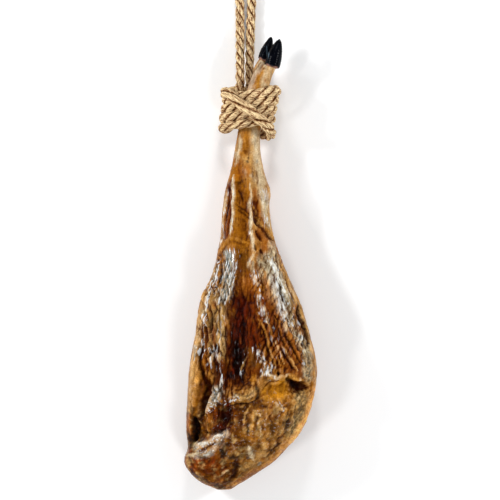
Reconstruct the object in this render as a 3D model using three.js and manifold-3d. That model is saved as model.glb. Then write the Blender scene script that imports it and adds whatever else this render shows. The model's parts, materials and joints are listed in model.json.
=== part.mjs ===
// A whole cured ham on its hanging rope, laid down on its outer side.
// Millimetres. +Y runs from the thigh to the hooves, +X is to the right of someone who looks down
// on the shown side, and +Z is up. The ham lies on a flat at z = 0, and the origin is on that plane,
// below the middle of the ham, the hooves and the lashing.

import * as THREE from "three";
import { mergeVertices } from "three/addons/utils/BufferGeometryUtils.js";
import Module from "manifold-3d";

const wasm = await Module();
wasm.setup();

// Driving dimensions
const ROPE_DIAMETER = 17;
const SHANK_HEIGHT = 55; // of the shank's middle above the plane, where the rope is lashed
const HAM_TOP = 322; // where the shank divides into the toes
const PIECE_GAP = 0.3; // between pieces that touch
const CUT_SIZE = 3000; // of the blocks that cut the pieces off flat

const ROPE_RADIUS = ROPE_DIAMETER / 2;

// The ham's outline and thickness along Y: the left and right edges, the underside and the top.
const STATIONS = [
  { y: -409, left: -62, right: -34, under: 34, top: 60 },
  { y: -396, left: -90, right: -14, under: 17, top: 82 },
  { y: -378, left: -109, right: 14, under: 8, top: 98 },
  { y: -357, left: -120, right: 44, under: 2, top: 110 },
  { y: -335, left: -113, right: 63, under: -2, top: 119 },
  { y: -306, left: -116, right: 89, under: -5, top: 128 },
  { y: -247, left: -114, right: 113, under: -7, top: 139 },
  { y: -189, left: -110, right: 120, under: -7, top: 142 },
  { y: -131, left: -100, right: 107, under: -5, top: 138 },
  { y: -73, left: -92, right: 90, under: -1, top: 128 },
  { y: -15, left: -68, right: 65, under: 6, top: 113 },
  { y: 44, left: -55, right: 43, under: 15, top: 101 },
  { y: 102, left: -50, right: 34, under: 21, top: 93 },
  { y: 131, left: -46, right: 35, under: 24, top: 91 },
  { y: 160, left: -37, right: 26, under: 28, top: 86 },
  { y: 218, left: -26, right: 17, under: 33, top: 78 },
  { y: 272, left: -17, right: 26, under: 33.5, top: 76.5 },
  { y: HAM_TOP, left: -5, right: 34, under: 35, top: 76 },
];

// The spacing of the rings along the thigh and the shank, and of the points round a ring.
const END_RINGS = [-409, -406, -401, -395, -387];
const THIGH_STEP = 9.6;
const SHANK_START = 60;
const SHANK_STEP = 14;
const RING_SLANT = 0.5; // the rings lie along the cut flap's lip where they cross it
const SLANT_MIDDLE = -228;
const SLANT_REACH = 90;
const FRONT_POINTS = 32;
const BACK_POINTS = 12;

// How the edge of a ring is rounded: 1 is an ellipse, and less is boxier.
const FRONT_ROUNDNESS = 0.8;
const BACK_ROUNDNESS = 0.94;
const EDGE_SHARE = 0.43; // how far up its thickness the ham is widest

// The folds start on the ham's sides and are at their full height where it faces up by this much.
const FOLDS_START = -0.1;
const FOLDS_FULL = 0.45;

// Folds, hollows and sinews of the shown side. Each is a line of [x, y] points on the surface,
// with how far it reaches to each side and how far it rises, or sinks where that is below 0.
const FOLDS = {
  flapLip: {
    line: [[-38, -256], [-10, -240], [22, -220], [48, -204], [74, -199]],
    reach: 13,
    rise: 8,
  },
  flapPocket: { line: [[38, -226], [66, -221], [96, -222]], reach: 14, rise: -17 },
  flapShadow: { line: [[-50, -266], [-20, -264], [14, -250]], reach: 12, rise: -8 },
  leftRimCrease: {
    line: [[-88, -120], [-87, -176], [-79, -228], [-85, -262], [-86, -305]],
    reach: 10,
    rise: -11,
  },
  leftRim: { line: [[-99, -140], [-100, -215], [-102, -280]], reach: 9, rise: 4 },
  cornerPocket: { line: [[-98, -290], [-97, -316]], reach: 12, rise: -11 },
  foldRidge: { line: [[-66, -242], [-74, -270], [-76, -298]], reach: 10, rise: 5 },
  foldHollow: { line: [[-50, -276], [-58, -300]], reach: 17, rise: -11 },
  cornerRidge: { line: [[-98, -338], [-72, -322], [-46, -306]], reach: 12, rise: 6 },
  lowerLobe: { line: [[-10, -310], [48, -296]], reach: 42, rise: 9 },
  cornerLobe: { line: [[-92, -362], [-60, -372]], reach: 24, rise: 5 },
  darkValley: { line: [[-14, -70], [-18, -125], [-26, -205]], reach: 18, rise: -11 },
  rightMuscle: { line: [[44, -70], [62, -140], [84, -180]], reach: 24, rise: 5 },
  rightRimCrease: { line: [[62, -62], [84, -110], [97, -146]], reach: 7, rise: -5 },
  middleSinew: { line: [[-5, 170], [0, 114], [6, 60], [5, 0], [9, -44]], reach: 7, rise: 4.5 },
  leftSinew: { line: [[-32, 158], [-35, 110], [-42, 62]], reach: 7, rise: 4 },
  leftGroove: { line: [[-41, 135], [-45, 92], [-51, 48]], reach: 6, rise: -6 },
  rightGroove: { line: [[8, 104], [14, 72], [28, 56], [42, 40]], reach: 7, rise: -6 },
  ankleBone: { line: [[30, 134], [32, 116]], reach: 10, rise: 4 },
};

// The toes and the hooves: places along the middle of each, with its half width and half depth.
const TOES = {
  near: [
    { at: [10, 272, 55], wide: 17, deep: 18 },
    { at: [19, 312, 58], wide: 15.5, deep: 16 },
    { at: [27, 338, 61], wide: 13.5, deep: 14 },
    { at: [35, 351, 63], wide: 12, deep: 13 },
    { at: [39, 359, 64], wide: 9, deep: 10 },
  ],
  far: [
    { at: [4, 272, 52], wide: 17, deep: 16 },
    { at: [6, 318, 49], wide: 11, deep: 13 },
    { at: [12, 342, 46], wide: 9.5, deep: 12 },
    { at: [20, 361, 45], wide: 8.5, deep: 11 },
    { at: [24, 369, 45], wide: 6.5, deep: 8 },
  ],
};
const HOOVES = {
  near: [
    { at: [37, 350, 63.5], wide: 13.2, deep: 15 },
    { at: [39.5, 357, 64.5], wide: 14.4, deep: 16.5 },
    { at: [42.5, 369, 66], wide: 14.4, deep: 16 },
    { at: [46.5, 383, 67], wide: 11.4, deep: 13 },
    { at: [50, 394, 67], wide: 7.2, deep: 8.5 },
    { at: [52.6, 403, 66], wide: 2.4, deep: 3 },
  ],
  far: [
    { at: [22, 364, 45], wide: 9.6, deep: 12 },
    { at: [24.5, 371, 45], wide: 10.8, deep: 13.5 },
    { at: [29, 383, 45], wide: 11, deep: 13 },
    { at: [33.5, 395, 46], wide: 8, deep: 10 },
    { at: [36.4, 404, 47], wide: 4.6, deep: 6 },
    { at: [37.6, 409, 47.5], wide: 1.6, deep: 2 },
  ],
};
const LIMB_SIDES = 12;
const LIMB_RINGS = 9;

// The lashing. The rope comes down from the loop beside the shank, winds round the shank and its own
// two standing parts, crosses back over its turns from the upper left to the lower right, and goes up
// behind them to the loop again. Places are offsets from the middle of the shank.
const TURNS = 4;
const TURN_PITCH = 16.8;
const LOWEST_TURN_Y = 243;
const TURN_LEFT = -50;
const TURN_RIGHT = 33;
const TURN_FRONT = 30;
const TURN_BEHIND = -46.3;
const POINTS_A_TURN = 12;
const STANDING_LEFT = [-33.1, -13]; // the two standing parts, as offsets across and up
const STANDING_RIGHT = [-15.6, -29];
const LASHING_SIDES = 8;
const LASHING_STEP = 13.5;
const HIDDEN_STEP = 1.5; // how far one stretch of the lashing runs into the next

// The loop above the lashing: points along its middle, from the left standing part to the right one.
const LOOP_LIE = ROPE_RADIUS + 0.5; // the height of its middle where it lies on the plane
const LOOP_POINTS = [
  [-18.6, 318, 42],
  [-18.8, 345, 38],
  [-19.0, 375, 26],
  [-19.1, 405, 14.5],
  [-19.2, 440, LOOP_LIE],
  [-19.6, 480, LOOP_LIE],
  [-24, 512, LOOP_LIE],
  [-37, 543, LOOP_LIE],
  [-45, 574, LOOP_LIE],
  [-37, 603, LOOP_LIE],
  [-9, 617, LOOP_LIE],
  [19, 603, LOOP_LIE],
  [27, 574, LOOP_LIE],
  [19, 543, LOOP_LIE],
  [6.4, 512, LOOP_LIE],
  [2.4, 480, LOOP_LIE],
  [0.8, 440, LOOP_LIE],
  [-0.4, 405, 11],
  [-1.4, 375, 17.5],
  [-1.8, 345, 24],
  [-1.1, 318, 26],
];
const LOOP_SIDES = 12;
const LOOP_STEPS = 56;

const MATERIALS = {
  ham: new THREE.MeshStandardMaterial({ color: 0x9a5f24, roughness: 0.42, metalness: 0 }),
  hoof: new THREE.MeshStandardMaterial({ color: 0x0b0d11, roughness: 0.28, metalness: 0 }),
  rope: new THREE.MeshStandardMaterial({ color: 0xc9a878, roughness: 0.9, metalness: 0 }),
};

// A closed surface through rings of points, each ring in the same order, with a fan over each end.
function loft(rings) {
  const count = rings[0].length;
  const positions = rings.flat().flatMap((p) => [p.x, p.y, p.z]);
  const indices = [];
  for (let ring = 0; ring < rings.length - 1; ring++) {
    for (let i = 0; i < count; i++) {
      const next = (i + 1) % count;
      const a = ring * count + i;
      const b = ring * count + next;
      indices.push(a, b + count, b, a, a + count, b + count);
    }
  }
  for (const [ring, forward] of [[0, true], [rings.length - 1, false]]) {
    const middle = rings[ring]
      .reduce((sum, p) => sum.add(p), new THREE.Vector3())
      .divideScalar(count);
    const hub = positions.length / 3;
    positions.push(middle.x, middle.y, middle.z);
    for (let i = 0; i < count; i++) {
      const a = ring * count + i;
      const b = ring * count + ((i + 1) % count);
      indices.push(...(forward ? [a, b, hub] : [b, a, hub]));
    }
  }
  return new THREE.BufferGeometry()
    .setAttribute("position", new THREE.Float32BufferAttribute(positions, 3))
    .setIndex(indices);
}

// The solid that a closed surface bounds.
function solidOf(geometry) {
  const bare = new THREE.BufferGeometry().setAttribute("position", geometry.getAttribute("position"));
  bare.setIndex(geometry.index);
  const merged = mergeVertices(bare, 1e-3);
  const vertProperties = merged.attributes.position.array;
  const triVerts = new Uint32Array(merged.index.array);
  return new wasm.Manifold(new wasm.Mesh({ numProp: 3, vertProperties, triVerts }));
}

function meshOf(name, solid, material) {
  const { vertProperties, triVerts } = solid.getMesh();
  const geometry = new THREE.BufferGeometry()
    .setAttribute("position", new THREE.BufferAttribute(vertProperties, 3))
    .setIndex(new THREE.BufferAttribute(triVerts, 1));
  geometry.computeVertexNormals();
  const mesh = new THREE.Mesh(geometry, material);
  mesh.name = name;
  return mesh;
}

// Everything below the plane that the ham lies on.
function ground() {
  const block = new THREE.BoxGeometry(CUT_SIZE, CUT_SIZE, CUT_SIZE);
  return solidOf(block.translate(0, 0, -CUT_SIZE / 2));
}

const stationKeys = ["left", "right", "under", "top"];
const stationCurve = new THREE.CubicInterpolant(
  STATIONS.map((s) => s.y),
  STATIONS.flatMap((s) => stationKeys.map((key) => s[key])),
  stationKeys.length,
  new Float64Array(stationKeys.length),
);

// The ham's edges and faces at one place along Y, grown by a margin.
function sectionAt(y, margin) {
  const [left, right, under, top] = stationCurve.evaluate(y);
  return { left: left - margin, right: right + margin, under: under - margin, top: top + margin };
}

// A point of the smooth ham: turn is 0 at the right edge, a quarter on top and a half at the left.
function pointAt(y, turn, margin) {
  const { left, right, under, top } = sectionAt(y, margin);
  const angle = turn * 2 * Math.PI;
  const across = Math.cos(angle);
  const up = Math.sin(angle);
  const edge = under + (top - under) * EDGE_SHARE;
  const roundness = up > 0 ? FRONT_ROUNDNESS : BACK_ROUNDNESS;
  const height = up > 0 ? top - edge : edge - under;
  return new THREE.Vector3(
    (left + right) / 2 + ((right - left) / 2) * Math.sign(across) * Math.abs(across) ** roundness,
    y,
    edge + height * Math.sign(up) * Math.abs(up) ** roundness,
  );
}

function slantedPoint(y, turn, margin) {
  const away = (y - SLANT_MIDDLE) / SLANT_REACH;
  const slant = RING_SLANT * Math.exp(-away * away);
  return pointAt(y + slant * pointAt(y, turn, margin).x, turn, margin);
}

function distanceToLine(x, y, line) {
  const point = new THREE.Vector2(x, y);
  let nearest = Infinity;
  for (let i = 0; i < line.length - 1; i++) {
    const start = new THREE.Vector2(...line[i]);
    const run = new THREE.Vector2(...line[i + 1]).sub(start);
    const along = THREE.MathUtils.clamp(point.clone().sub(start).dot(run) / run.lengthSq(), 0, 1);
    nearest = Math.min(nearest, point.distanceTo(start.addScaledVector(run, along)));
  }
  return nearest;
}

// How far the folds raise the shown side at a place.
function reliefAt(x, y) {
  return Object.values(FOLDS).reduce((sum, fold) => {
    const away = distanceToLine(x, y, fold.line) / fold.reach;
    return sum + fold.rise * Math.exp(-away * away);
  }, 0);
}

function ringHeights() {
  const heights = [...END_RINGS];
  let y = END_RINGS.at(-1) + THIGH_STEP;
  while (y < HAM_TOP) {
    heights.push(y);
    y += y < SHANK_START ? THIGH_STEP : SHANK_STEP;
  }
  return [...heights, HAM_TOP];
}

function ringTurns() {
  const front = Array.from({ length: FRONT_POINTS }, (_, i) => (i / FRONT_POINTS) * 0.5);
  const back = Array.from({ length: BACK_POINTS }, (_, i) => 0.5 + (i / BACK_POINTS) * 0.5);
  return [...front, ...back];
}

// The thigh and the shank, smooth, or with the folds raised along the surface's normals.
function legGeometry(margin, folded) {
  const turns = ringTurns();
  const rings = ringHeights().map((y) => turns.map((turn) => slantedPoint(y, turn, margin)));
  const geometry = loft(rings);
  if (!folded) return geometry;
  geometry.computeVertexNormals();
  const { position, normal } = geometry.attributes;
  for (let i = 0; i < position.count; i++) {
    const place = new THREE.Vector3().fromBufferAttribute(position, i);
    const out = new THREE.Vector3().fromBufferAttribute(normal, i);
    const shown = THREE.MathUtils.smoothstep(out.z, FOLDS_START, FOLDS_FULL);
    place.addScaledVector(out, shown * reliefAt(place.x, place.y));
    position.setXYZ(i, place.x, place.y, place.z);
  }
  return geometry;
}

// A rounded limb through its stations, such as a toe or a hoof.
function limbGeometry(stations, margin) {
  const spine = new THREE.CatmullRomCurve3(stations.map((s) => new THREE.Vector3(...s.at)));
  const last = stations.length - 1;
  const sizes = new THREE.CubicInterpolant(
    stations.map((_, i) => i / last),
    stations.flatMap((s) => [s.wide + margin, s.deep + margin]),
    2,
    new Float64Array(2),
  );
  const rings = Array.from({ length: LIMB_RINGS + 1 }, (_, ring) => {
    const share = ring / LIMB_RINGS;
    const [wide, deep] = sizes.evaluate(share);
    const middle = spine.getPoint(share);
    const along = spine.getTangent(share);
    const across = new THREE.Vector3(0, 0, 1).cross(along).negate().normalize();
    const up = across.clone().cross(along).normalize();
    return Array.from({ length: LIMB_SIDES }, (_, side) => {
      const angle = (side / LIMB_SIDES) * 2 * Math.PI;
      return middle
        .clone()
        .addScaledVector(across, wide * Math.cos(angle))
        .addScaledVector(up, deep * Math.sin(angle));
    });
  });
  return loft(rings);
}

function hamSolid(margin, folded) {
  const leg = solidOf(legGeometry(margin, folded));
  return Object.values(TOES).reduce(
    (sum, toe) => sum.add(solidOf(limbGeometry(toe, margin))),
    leg,
  );
}

// The middle of the shank at a place along Y.
function shankMiddle(y) {
  const { left, right } = sectionAt(y, 0);
  return new THREE.Vector3((left + right) / 2, y, SHANK_HEIGHT);
}

function besideShank([across, up], y) {
  return shankMiddle(y).add(new THREE.Vector3(across, 0, up));
}

// One turn of the lashing. It starts at the left, rises over the front, and runs level behind.
function turnPoints(turn) {
  return Array.from({ length: POINTS_A_TURN + 1 }, (_, i) => {
    const share = i / POINTS_A_TURN;
    const angle = share * 2 * Math.PI;
    const left = -Math.cos(angle);
    const front = Math.sin(angle);
    const across = left < 0 ? -left * TURN_LEFT : left * TURN_RIGHT;
    const up = front > 0 ? front * TURN_FRONT : -front * TURN_BEHIND;
    const rise = THREE.MathUtils.smoothstep(share, 0, 0.5);
    return besideShank([across, up], LOWEST_TURN_Y + (turn + rise) * TURN_PITCH);
  });
}

// The stretches of rope in the lashing, each a list of points along its middle.
function lashingStretches() {
  const turns = Array.from({ length: TURNS }, (_, turn) => turnPoints(turn));
  const goingIn = [
    besideShank(STANDING_LEFT, HAM_TOP),
    besideShank(STANDING_LEFT, 300),
    besideShank(STANDING_LEFT, 268),
    besideShank([-38, -16], 246),
    besideShank([-46, -8], 241),
    turns[0][0],
    turns[0][1],
  ];
  const crossing = [
    turns.at(-1).at(-2),
    besideShank([-57, -4], 307),
    besideShank([-51, 23], 303),
    besideShank([-31, 43], 289),
    besideShank([-8, 47.5], 273),
    besideShank([10, 47.5], 260),
    besideShank([27, 42], 247),
    besideShank([38, 25], 236.5),
    besideShank([39, 4], 230.5),
  ];
  const goingOut = [
    besideShank([38, 25], 236.5),
    besideShank([39, 4], 230.5),
    besideShank([30, -15], 229.5),
    besideShank([14, -29], 239),
    besideShank([-6, -32], 251),
    besideShank(STANDING_RIGHT, 268),
    besideShank(STANDING_RIGHT, 300),
    besideShank(STANDING_RIGHT, HAM_TOP),
  ];
  return [goingIn, ...turns, crossing, goingOut];
}

// A round rope along points, as a solid.
function ropeSolid(points, sides, steps) {
  const section = new THREE.Shape(
    Array.from({ length: sides }, (_, i) => {
      const angle = ((i + 0.5) / sides) * 2 * Math.PI;
      return new THREE.Vector2(Math.cos(angle), Math.sin(angle)).multiplyScalar(ROPE_RADIUS);
    }),
  );
  const path = new THREE.CatmullRomCurve3(points);
  return solidOf(new THREE.ExtrudeGeometry(section, { steps, extrudePath: path }));
}

function lengthOf(points) {
  return new THREE.CatmullRomCurve3(points).getLength();
}

// A stretch of rope, drawn out a little at its ends so that it runs into the next one.
function lengthened(points) {
  const out = (from, to) => to.clone().add(to.clone().sub(from).setLength(HIDDEN_STEP));
  return [out(points[1], points[0]), ...points.slice(1, -1), out(points.at(-2), points.at(-1))];
}

function lashingSolid() {
  return lashingStretches()
    .map((points) => {
      const steps = Math.round(lengthOf(points) / LASHING_STEP);
      return ropeSolid(lengthened(points), LASHING_SIDES, steps);
    })
    .reduce((sum, stretch) => sum.add(stretch));
}

// Everything above a level along Y.
function above(y) {
  const block = new THREE.BoxGeometry(CUT_SIZE, CUT_SIZE, CUT_SIZE);
  return solidOf(block.translate(0, y + CUT_SIZE / 2, 0));
}

const below = ground();
const ham = hamSolid(0, true).subtract(below);
const hamGrown = hamSolid(PIECE_GAP, false);
const lashingEnd = HAM_TOP - PIECE_GAP;
const lashing = lashingSolid().subtract(hamGrown).subtract(below).subtract(above(lashingEnd));
const loop = ropeSolid(
  LOOP_POINTS.map((p) => new THREE.Vector3(...p)),
  LOOP_SIDES,
  LOOP_STEPS,
).intersect(above(HAM_TOP));
const nearHoof = solidOf(limbGeometry(HOOVES.near, 0)).subtract(hamGrown);
const farHoof = solidOf(limbGeometry(HOOVES.far, 0))
  .subtract(hamGrown)
  .subtract(solidOf(limbGeometry(HOOVES.near, PIECE_GAP)));

const part = new THREE.Group();
part.add(
  meshOf("ham", ham, MATERIALS.ham),
  meshOf("hoof_near", nearHoof, MATERIALS.hoof),
  meshOf("hoof_far", farHoof, MATERIALS.hoof),
  meshOf("rope_lashing", lashing, MATERIALS.rope),
  meshOf("rope_loop", loop, MATERIALS.rope),
);

export default part;
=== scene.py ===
"""A whole cured ham on its hanging rope, lying on its outer side with the cut side up.

The ham's body is carved from its solid: folds and wrinkles are raised along named lines, and the
fat, lean, mould and skin are painted on its points in named tones, with painted shade in its hollows
and creases and painted highlight on its crests. The rope is laid from three strands along one route
through its lashing and its loop, with painted shade in its grooves. Lengths are in millimetres where
a name or a docstring says so, and in metres elsewhere.
"""

import json
import logging
import math
import random
from dataclasses import dataclass, field
from enum import Enum

import bmesh
import bpy
import numpy as np
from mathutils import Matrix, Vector, noise

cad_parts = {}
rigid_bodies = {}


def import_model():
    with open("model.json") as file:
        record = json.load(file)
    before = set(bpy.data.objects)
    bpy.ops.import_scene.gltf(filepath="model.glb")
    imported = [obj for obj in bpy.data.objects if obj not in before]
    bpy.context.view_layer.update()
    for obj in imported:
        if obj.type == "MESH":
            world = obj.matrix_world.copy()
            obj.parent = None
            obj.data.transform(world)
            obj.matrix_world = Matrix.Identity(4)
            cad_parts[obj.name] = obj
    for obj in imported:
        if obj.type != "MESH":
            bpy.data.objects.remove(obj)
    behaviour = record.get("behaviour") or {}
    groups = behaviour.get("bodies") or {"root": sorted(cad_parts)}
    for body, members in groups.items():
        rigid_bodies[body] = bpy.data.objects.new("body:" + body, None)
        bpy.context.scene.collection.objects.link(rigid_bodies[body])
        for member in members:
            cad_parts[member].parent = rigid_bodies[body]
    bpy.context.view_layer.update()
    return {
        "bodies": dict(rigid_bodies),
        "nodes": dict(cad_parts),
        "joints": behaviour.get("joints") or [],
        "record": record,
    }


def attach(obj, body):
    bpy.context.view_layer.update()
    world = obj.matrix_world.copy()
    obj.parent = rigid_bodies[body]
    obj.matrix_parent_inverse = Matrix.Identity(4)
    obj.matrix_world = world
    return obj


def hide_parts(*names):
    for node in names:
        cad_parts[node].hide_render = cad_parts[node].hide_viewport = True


MM = 0.001
ROOT = "root"
Line = tuple[tuple[float, float], ...]
Place = tuple[float, float, float]
Range = tuple[float, float]
Tint = tuple[float, float, float, float]
log = logging.getLogger("ham")


def srgb(red: int, green: int, blue: int) -> Tint:
    """Turn a screen colour into Blender's linear one.

    Args:
        red: the red part, 0 to 255.
        green: the green part, 0 to 255.
        blue: the blue part, 0 to 255.

    Returns:
        The linear colour with an alpha of 1.
    """
    parts = [c / 255 for c in (red, green, blue)]
    line = [c / 12.92 if c <= 0.04045 else ((c + 0.055) / 1.055) ** 2.4 for c in parts]
    return (line[0], line[1], line[2], 1.0)


class Tone(Enum):
    """The tones of the cured meat, fat, skin and mould, and of painted highlight and painted shade."""

    # Painted highlight on the wet meat.
    SHINE = srgb(224, 230, 232)
    # Pale grey; on the lower lobe's bands partly painted highlight.
    SILVER = srgb(188, 192, 194)
    BRIGHT_GOLD = srgb(212, 146, 34)
    DARK_ORANGE = srgb(112, 42, 4)
    AMBER = srgb(148, 92, 14)
    DEEP_AMBER = srgb(124, 72, 8)
    OLIVE_AMBER = srgb(100, 60, 8)
    ORANGE = srgb(148, 84, 18)
    GOLD = srgb(172, 116, 30)
    CREAM = srgb(212, 202, 178)
    CREAM_PINK = srgb(184, 144, 88)
    PINK_GREY = srgb(184, 162, 142)
    PURPLE_GREY = srgb(188, 180, 178)
    RED_BROWN = srgb(108, 52, 10)
    DARK_RED = srgb(84, 24, 3)
    LEAN = srgb(62, 15, 3)
    # Black lean, and painted shade in creases, gaps and pockets.
    BLACK_LEAN_AND_SHADE = srgb(12, 2, 0)
    BROWN = srgb(78, 34, 4)
    DARK_BROWN = srgb(38, 11, 1)
    MOULD_BLUE = srgb(132, 146, 152)
    MOULD_GREEN = srgb(184, 176, 152)
    MOULD_DARK = srgb(56, 52, 42)
    OCHRE = srgb(150, 102, 42)
    GREY_OCHRE = srgb(158, 134, 90)
    TAN = srgb(190, 148, 88)
    PEACH = srgb(236, 172, 98)
    SKIN = srgb(184, 126, 64)
    SKIN_DARK = srgb(112, 58, 26)
    # Painted highlight: small white glints on the wet meat.
    PAINTED_GLINT = srgb(220, 220, 214)


class Edge(Enum):
    """How a fold or a stroke falls off from its line."""

    ROUND = "round"
    SHARP = "sharp"


@dataclass(frozen=True)
class Stroke:
    """A stroke of one tone along a line on the shown side, in millimetres."""

    tone: Tone
    line: Line
    reach: float
    strength: float = 1.0
    wet: float | None = None
    mould: float | None = None


@dataclass(frozen=True)
class Glint:
    """A run on the shown side whose crests are painted pale as highlight and given a shiny coat, in
    millimetres.
    """

    line: Line
    reach: float
    strength: float


@dataclass(frozen=True)
class Fold:
    """A ridge, or a crease where it sinks, along a line on the shown side, in millimetres."""

    line: Line
    reach: float
    rise: float
    edge: Edge = Edge.ROUND


@dataclass(frozen=True)
class WrinkleField:
    """A patch of wrinkles that run one way, in millimetres and degrees.

    The angle is that of the wrinkles' run from +Y towards +X.
    """

    centre: tuple[float, float]
    radii: tuple[float, float]
    angle: float
    spacing: float
    depth: float
    seed: float
    stretch: float = 4.0


def deselect_all() -> None:
    """Deselect every object."""
    for thing in bpy.context.selected_objects:
        thing.select_set(False)


def select_only(obj: bpy.types.Object) -> None:
    """Select one object and make it the active one."""
    deselect_all()
    obj.select_set(True)
    bpy.context.view_layer.objects.active = obj


def apply_modifier(obj: bpy.types.Object, kind: str, **settings: object) -> None:
    """Add a modifier to an object and apply it at once.

    Args:
        obj: the object to change.
        kind: the modifier's type name.
        **settings: its properties by name.
    """
    select_only(obj)
    modifier = obj.modifiers.new(kind.title(), kind)
    for key, value in settings.items():
        setattr(modifier, key, value)
    bpy.ops.object.modifier_apply(modifier=modifier.name)


def shade_smooth(obj: bpy.types.Object) -> None:
    """Shade every face of an object smooth."""
    select_only(obj)
    bpy.ops.object.shade_smooth()


def points_of(obj: bpy.types.Object) -> np.ndarray:
    """Return the places of an object's vertices as rows of x, y and z."""
    places = np.empty(len(obj.data.vertices) * 3, dtype=np.float64)
    obj.data.vertices.foreach_get("co", places)
    return places.reshape(-1, 3)


def move_points(obj: bpy.types.Object, places: np.ndarray) -> None:
    """Put an object's vertices at new places."""
    obj.data.vertices.foreach_set("co", places.astype(np.float32).ravel())
    obj.data.update()


def normals_of(obj: bpy.types.Object) -> np.ndarray:
    """Return an object's vertex normals as rows of x, y and z."""
    out = np.empty(len(obj.data.vertices) * 3, dtype=np.float32)
    obj.data.vertex_normals.foreach_get("vector", out)
    return out.reshape(-1, 3).astype(np.float64)


def store_value(obj: bpy.types.Object, name: str, values: np.ndarray) -> None:
    """Store one number a vertex as a named attribute."""
    layer = obj.data.attributes.new(name, "FLOAT", "POINT")
    layer.data.foreach_set("value", values.astype(np.float32))


def store_vector(obj: bpy.types.Object, name: str, vectors: np.ndarray) -> None:
    """Store one vector a vertex as a named attribute."""
    layer = obj.data.attributes.new(name, "FLOAT_VECTOR", "POINT")
    layer.data.foreach_set("vector", vectors.astype(np.float32).ravel())


class Neighbours:
    """The vertices that each vertex of an object shares an edge with."""

    def __init__(self, obj: bpy.types.Object) -> None:
        """Read the object's edges."""
        ends = np.empty(len(obj.data.edges) * 2, dtype=np.int32)
        obj.data.edges.foreach_get("vertices", ends)
        self.first = np.concatenate([ends[0::2], ends[1::2]])
        self.second = np.concatenate([ends[1::2], ends[0::2]])
        self.links = np.bincount(self.first, minlength=len(obj.data.vertices))[:, None]

    def evened(self, places: np.ndarray, weight: float | np.ndarray, passes: int) -> np.ndarray:
        """Draw each place towards the middle of its neighbours.

        Args:
            places: the vertices' places.
            weight: how far they are drawn in one pass, 0 to 1.
            passes: how often.

        Returns:
            The evened places.
        """
        for _ in range(passes):
            sums = [np.bincount(self.first, places[self.second, axis], len(places)) for axis in range(3)]
            places = places + weight * (np.stack(sums, axis=1) / self.links - places)
        return places


def relief_of(obj: bpy.types.Object, passes: int) -> np.ndarray:
    """Measure how far each vertex stands out of its evened surroundings.

    Args:
        obj: the object.
        passes: how often its points are drawn towards their neighbours.

    Returns:
        A height of each vertex in metres, below zero in a hollow.
    """
    places = points_of(obj)
    evened = Neighbours(obj).evened(places, 0.5, passes)
    return ((places - evened) * normals_of(obj)).sum(axis=1)


def store_colour(obj: bpy.types.Object, name: str, colours: np.ndarray) -> None:
    """Store one linear colour a vertex as a named attribute."""
    layer = obj.data.color_attributes.new(name, "FLOAT_COLOR", "POINT")
    layer.data.foreach_set("color", colours.astype(np.float32).ravel())


@dataclass(frozen=True)
class Lumps:
    """Smooth noise from about -1 to 1: the size of its largest lumps, its layers and its shift."""

    size: float
    layers: int
    shift: float

    def at(self, places: np.ndarray) -> np.ndarray:
        """Return the noise at rows of x, y and z in the unit of its size."""
        scaled = places / self.size + self.shift
        return np.array([noise.fractal(Vector(p), 1.0, 2.0, self.layers) for p in scaled])


@dataclass(frozen=True)
class Fade:
    """A smooth step from 0 at its start to 1 at its end, which may be the smaller value."""

    start: float
    end: float

    def of(self, values: np.ndarray) -> np.ndarray:
        """Return how far along the step each value is, 0 to 1."""
        share = np.clip((values - self.start) / (self.end - self.start), 0, 1)
        return share * share * (3 - 2 * share)


def distance_to_line(flat: np.ndarray, line: Line, taper: float = 0.0) -> np.ndarray:
    """Measure how far flat points are from a line through places.

    Args:
        flat: rows of x and y.
        line: two or more places.
        taper: how much narrower the line is at its ends, 0 for none.

    Returns:
        The distance of each point, longer by the narrowing where the line tapers.
    """
    nearest = np.full(len(flat), np.inf)
    pieces = list(zip(line[:-1], line[1:]))
    total = sum(math.dist(start, end) for start, end in pieces)
    passed = 0.0
    for start, end in pieces:
        length = math.dist(start, end)
        begin = np.array(start, dtype=float)
        run = np.array(end, dtype=float) - begin
        along = np.clip((flat - begin) @ run / (run @ run), 0, 1)
        gap = np.linalg.norm(flat - begin - along[:, None] * run, axis=1)
        share = (passed + along * length) / total
        width = 1 - taper * np.abs(2 * share - 1) ** 3
        nearest = np.minimum(nearest, gap / width)
        passed += length
    return nearest


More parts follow.
